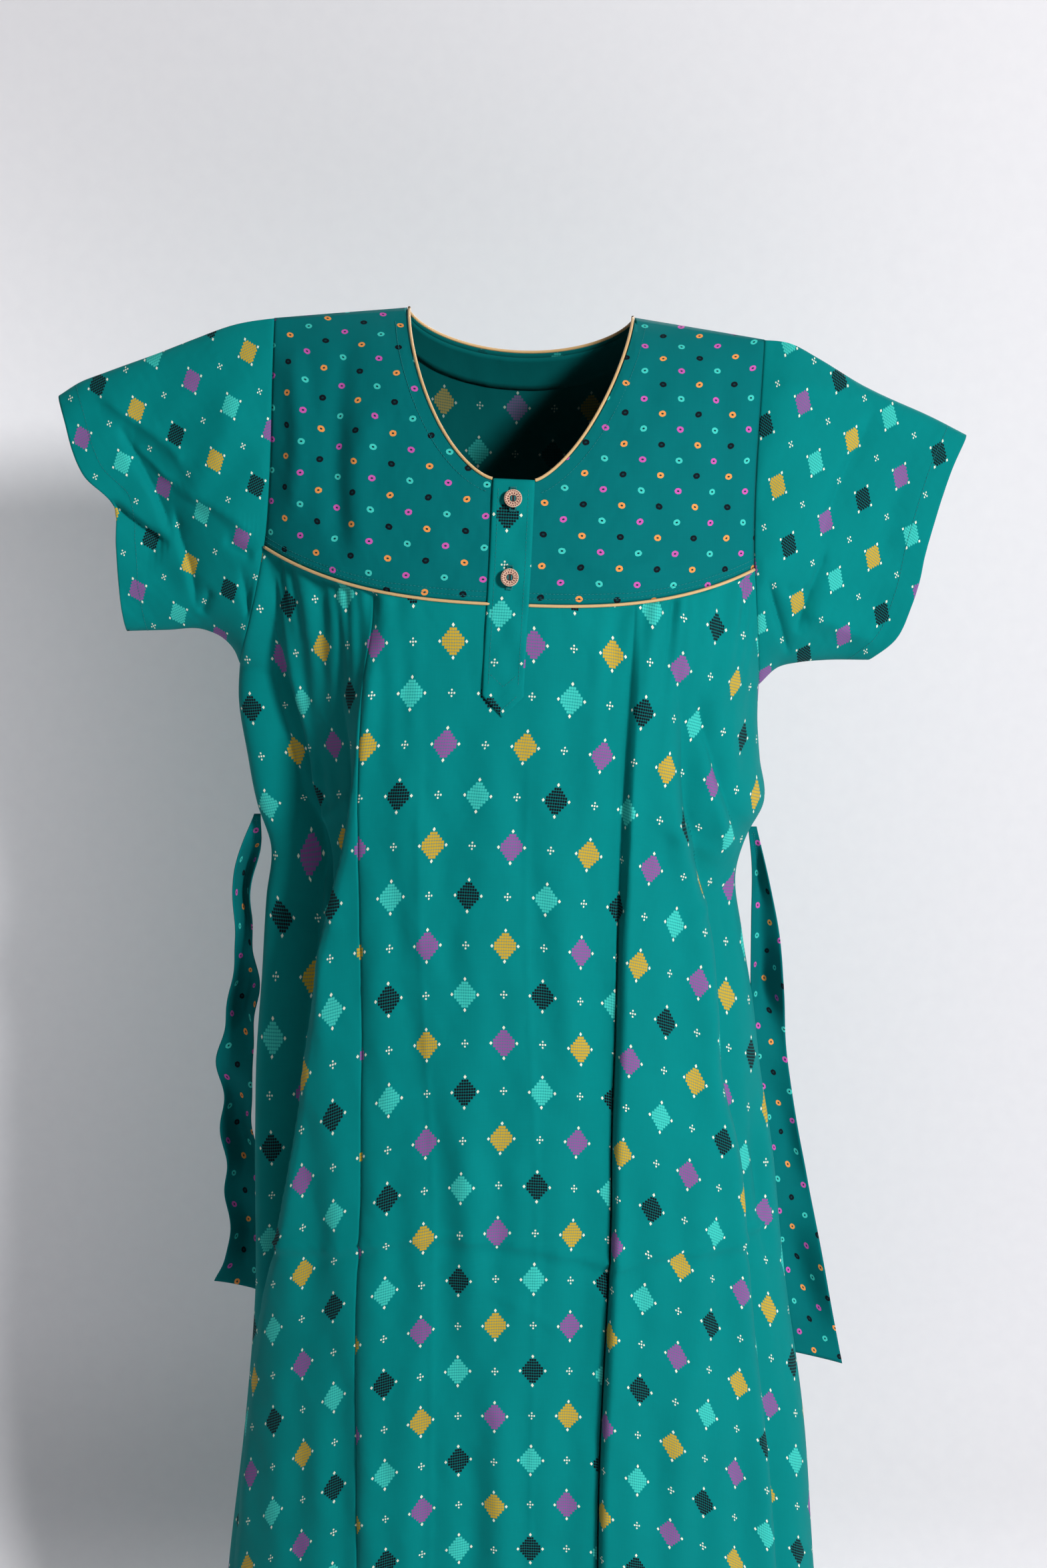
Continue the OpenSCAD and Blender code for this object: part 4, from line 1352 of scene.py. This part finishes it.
for side, word in SIDES:
    root = hang(np.array([side * 216.0, 0, -150.0])) * 0.001
    tip = hang(np.array([side * 282.0, 0, -150.0])) * 0.001
    sleeves[side, "cloth"] = join(f"sleeve_{word}_cloth", [sleeves[side, True].obj,
                                                           sleeves[side, False].obj])
    for part, node in (("cloth", f"sleeve_{word}"), ("turn", f"sleeve_hem_{word}")):
        piece = sleeves[side, part]
        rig.replaces(piece, node)
        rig.slot(piece, "diamond_cotton")
        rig.blend(piece, "gown", f"{word}_sleeve", start=tuple(root), end=tuple(tip))
    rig.ride(stitch_pieces["sleeve", side], f"{word}_sleeve")
    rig.slot(stitch_pieces["sleeve", side], "sewing_thread")
    piece = ties[side].obj
    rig.replaces(piece, f"tie_{word}")
    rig.slot(piece, "ring_cotton")
    root = ties[side].seen[0, 10] * 0.001
    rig.blend(piece, "gown", f"{word}_tie", start=tuple(root),
             end=tuple(root + np.array([0, 0, -0.1])))

# ---------------------------------------------------------------- sheets of cloth
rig.sheet(front.obj, flat=(0.86, 1.16), held="gathered",
         with_pieces=[hem_front.obj, stitch_pieces["hem", 1]])
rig.sheet(back.obj, flat=(0.70, 1.40), held="hung",
         with_pieces=[hem_back.obj, stitch_pieces["hem", -1], facing_back.obj])
for side, word in SIDES:
    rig.sheet(yokes[side].obj, flat=(0.235, 0.27), area=0.045, held="hung",
             with_pieces=[stitch_pieces["yoke", side], yoke_piping[side],
                          allowances["shoulder", side]])
    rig.sheet(sleeves[side, "cloth"], flat=(0.60, 0.21), area=0.096, held="hung",
             with_pieces=[stitch_pieces["sleeve", side], sleeves[side, "turn"]])
    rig.sheet(ties[side].obj, flat=(0.046, 0.55), area=0.024, held="hung",
             with_pieces=[tacks[side]])
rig.sheet(placket.obj, flat=(0.035, 0.205), held="hung",
         with_pieces=[stitch_pieces["placket", 0], buttonholes])
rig.sheet(underlap.obj, flat=(0.035, 0.18), held="hung")

# ---------------------------------------------------------------- backdrop and light
def backdrop():
    """A pale wall that curves into a pale floor."""
    floor_z, wall_y, radius = -1480.0, 500.0, 300.0
    line = [(-6000.0, floor_z), (-2500.0, floor_z), (wall_y - radius - 400, floor_z)]
    for a in np.linspace(0, np.pi / 2, 24):
        line.append((wall_y - radius + radius * np.sin(a), floor_z + radius - radius * np.cos(a)))
    line += [(wall_y, 1500.0), (wall_y, 4500.0)]
    xs = np.linspace(-6000, 6000, 9)
    verts = np.array([[x, y, z] for y, z in line for x in xs])
    n = len(xs)
    faces = [[j * n + i, j * n + i + 1, (j + 1) * n + i + 1, (j + 1) * n + i]
             for j in range(len(line) - 1) for i in range(n - 1)]
    net = Net("backdrop_paper")
    geo = net.place()
    paper = net.noise(geo, 60.0, 4.0)
    net.set(Base_Color=net.blend(paper, rgb(236, 234, 237), rgb(230, 228, 232)), Roughness=0.85,
            Normal=net.bump(paper, 0.05, 0.002))
    # The wall is seen and lit from its front only, so the gown's back can be seen and lit too
    behind = net.node("ShaderNodeNewGeometry", "Backfacing")
    shadow = net.node("ShaderNodeLightPath", "Is Shadow Ray")
    net.set(Alpha=1.0 - net.high(behind, shadow))
    return mesh_object("backdrop", verts, faces, [net.mat])


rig.stage(backdrop())
floor_behind = mesh_object(
    "floor_behind", np.array([[x, y, -1482.0] for y in (300, 7000) for x in (-6000, 6000)]),
    [[0, 1, 3, 2]], [bpy.data.materials["backdrop_paper"]])
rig.stage(floor_behind)


def area_light(name, location, target, size, power, spread=180):
    data = bpy.data.lights.new(name, "AREA")
    data.shape = "DISK"
    data.size = size
    data.energy = power
    data.spread = np.radians(spread)
    light = bpy.data.objects.new(name, data)
    light.location = location
    way = np.array(location) - np.array(target)
    light.rotation_euler = Vector(way).to_track_quat("Z", "Y").to_euler()
    bpy.context.scene.collection.objects.link(light)


area_light("key", (2.4, -3.4, 1.1), (0, 0, -0.5), 0.75, 182)
area_light("overhead", (0.2, -1.0, 2.3), (0, 0.2, -0.2), 1.2, 4)
area_light("wall", (-1.9, -1.2, 0.6), (-1.05, 0.5, -0.4), 0.8, 2.2, spread=46)
area_light("back", (0.9, 2.9, 1.6), (0, 0, -0.6), 1.2, 70)
world = bpy.data.worlds.new("studio")
world.use_nodes = True
sky = world.node_tree
pale = sky.nodes.new("ShaderNodeBackground")
either = sky.nodes.new("ShaderNodeMixShader")
# The camera sees a pale sky, and the gown is lit by a dim one
for socket, room, colour, strength in (
        (1, sky.nodes["Background"], (0.97, 0.98, 1, 1), 0.03),
        (2, pale, (0.80, 0.81, 0.84, 1), 0.8)):
    room.inputs[0].default_value = colour
    room.inputs[1].default_value = strength
    sky.links.new(room.outputs[0], either.inputs[socket])
sky.links.new(sky.nodes.new("ShaderNodeLightPath").outputs["Is Camera Ray"], either.inputs[0])
sky.links.new(either.outputs[0], sky.nodes["World Output"].inputs[0])
bpy.context.scene.world = world

with open("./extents.json", "w") as f:
    json.dump({"cad": [list(map(float, c)) for c in cad_box],
               "visual": [list(map(float, c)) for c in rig.bounds()]}, f)
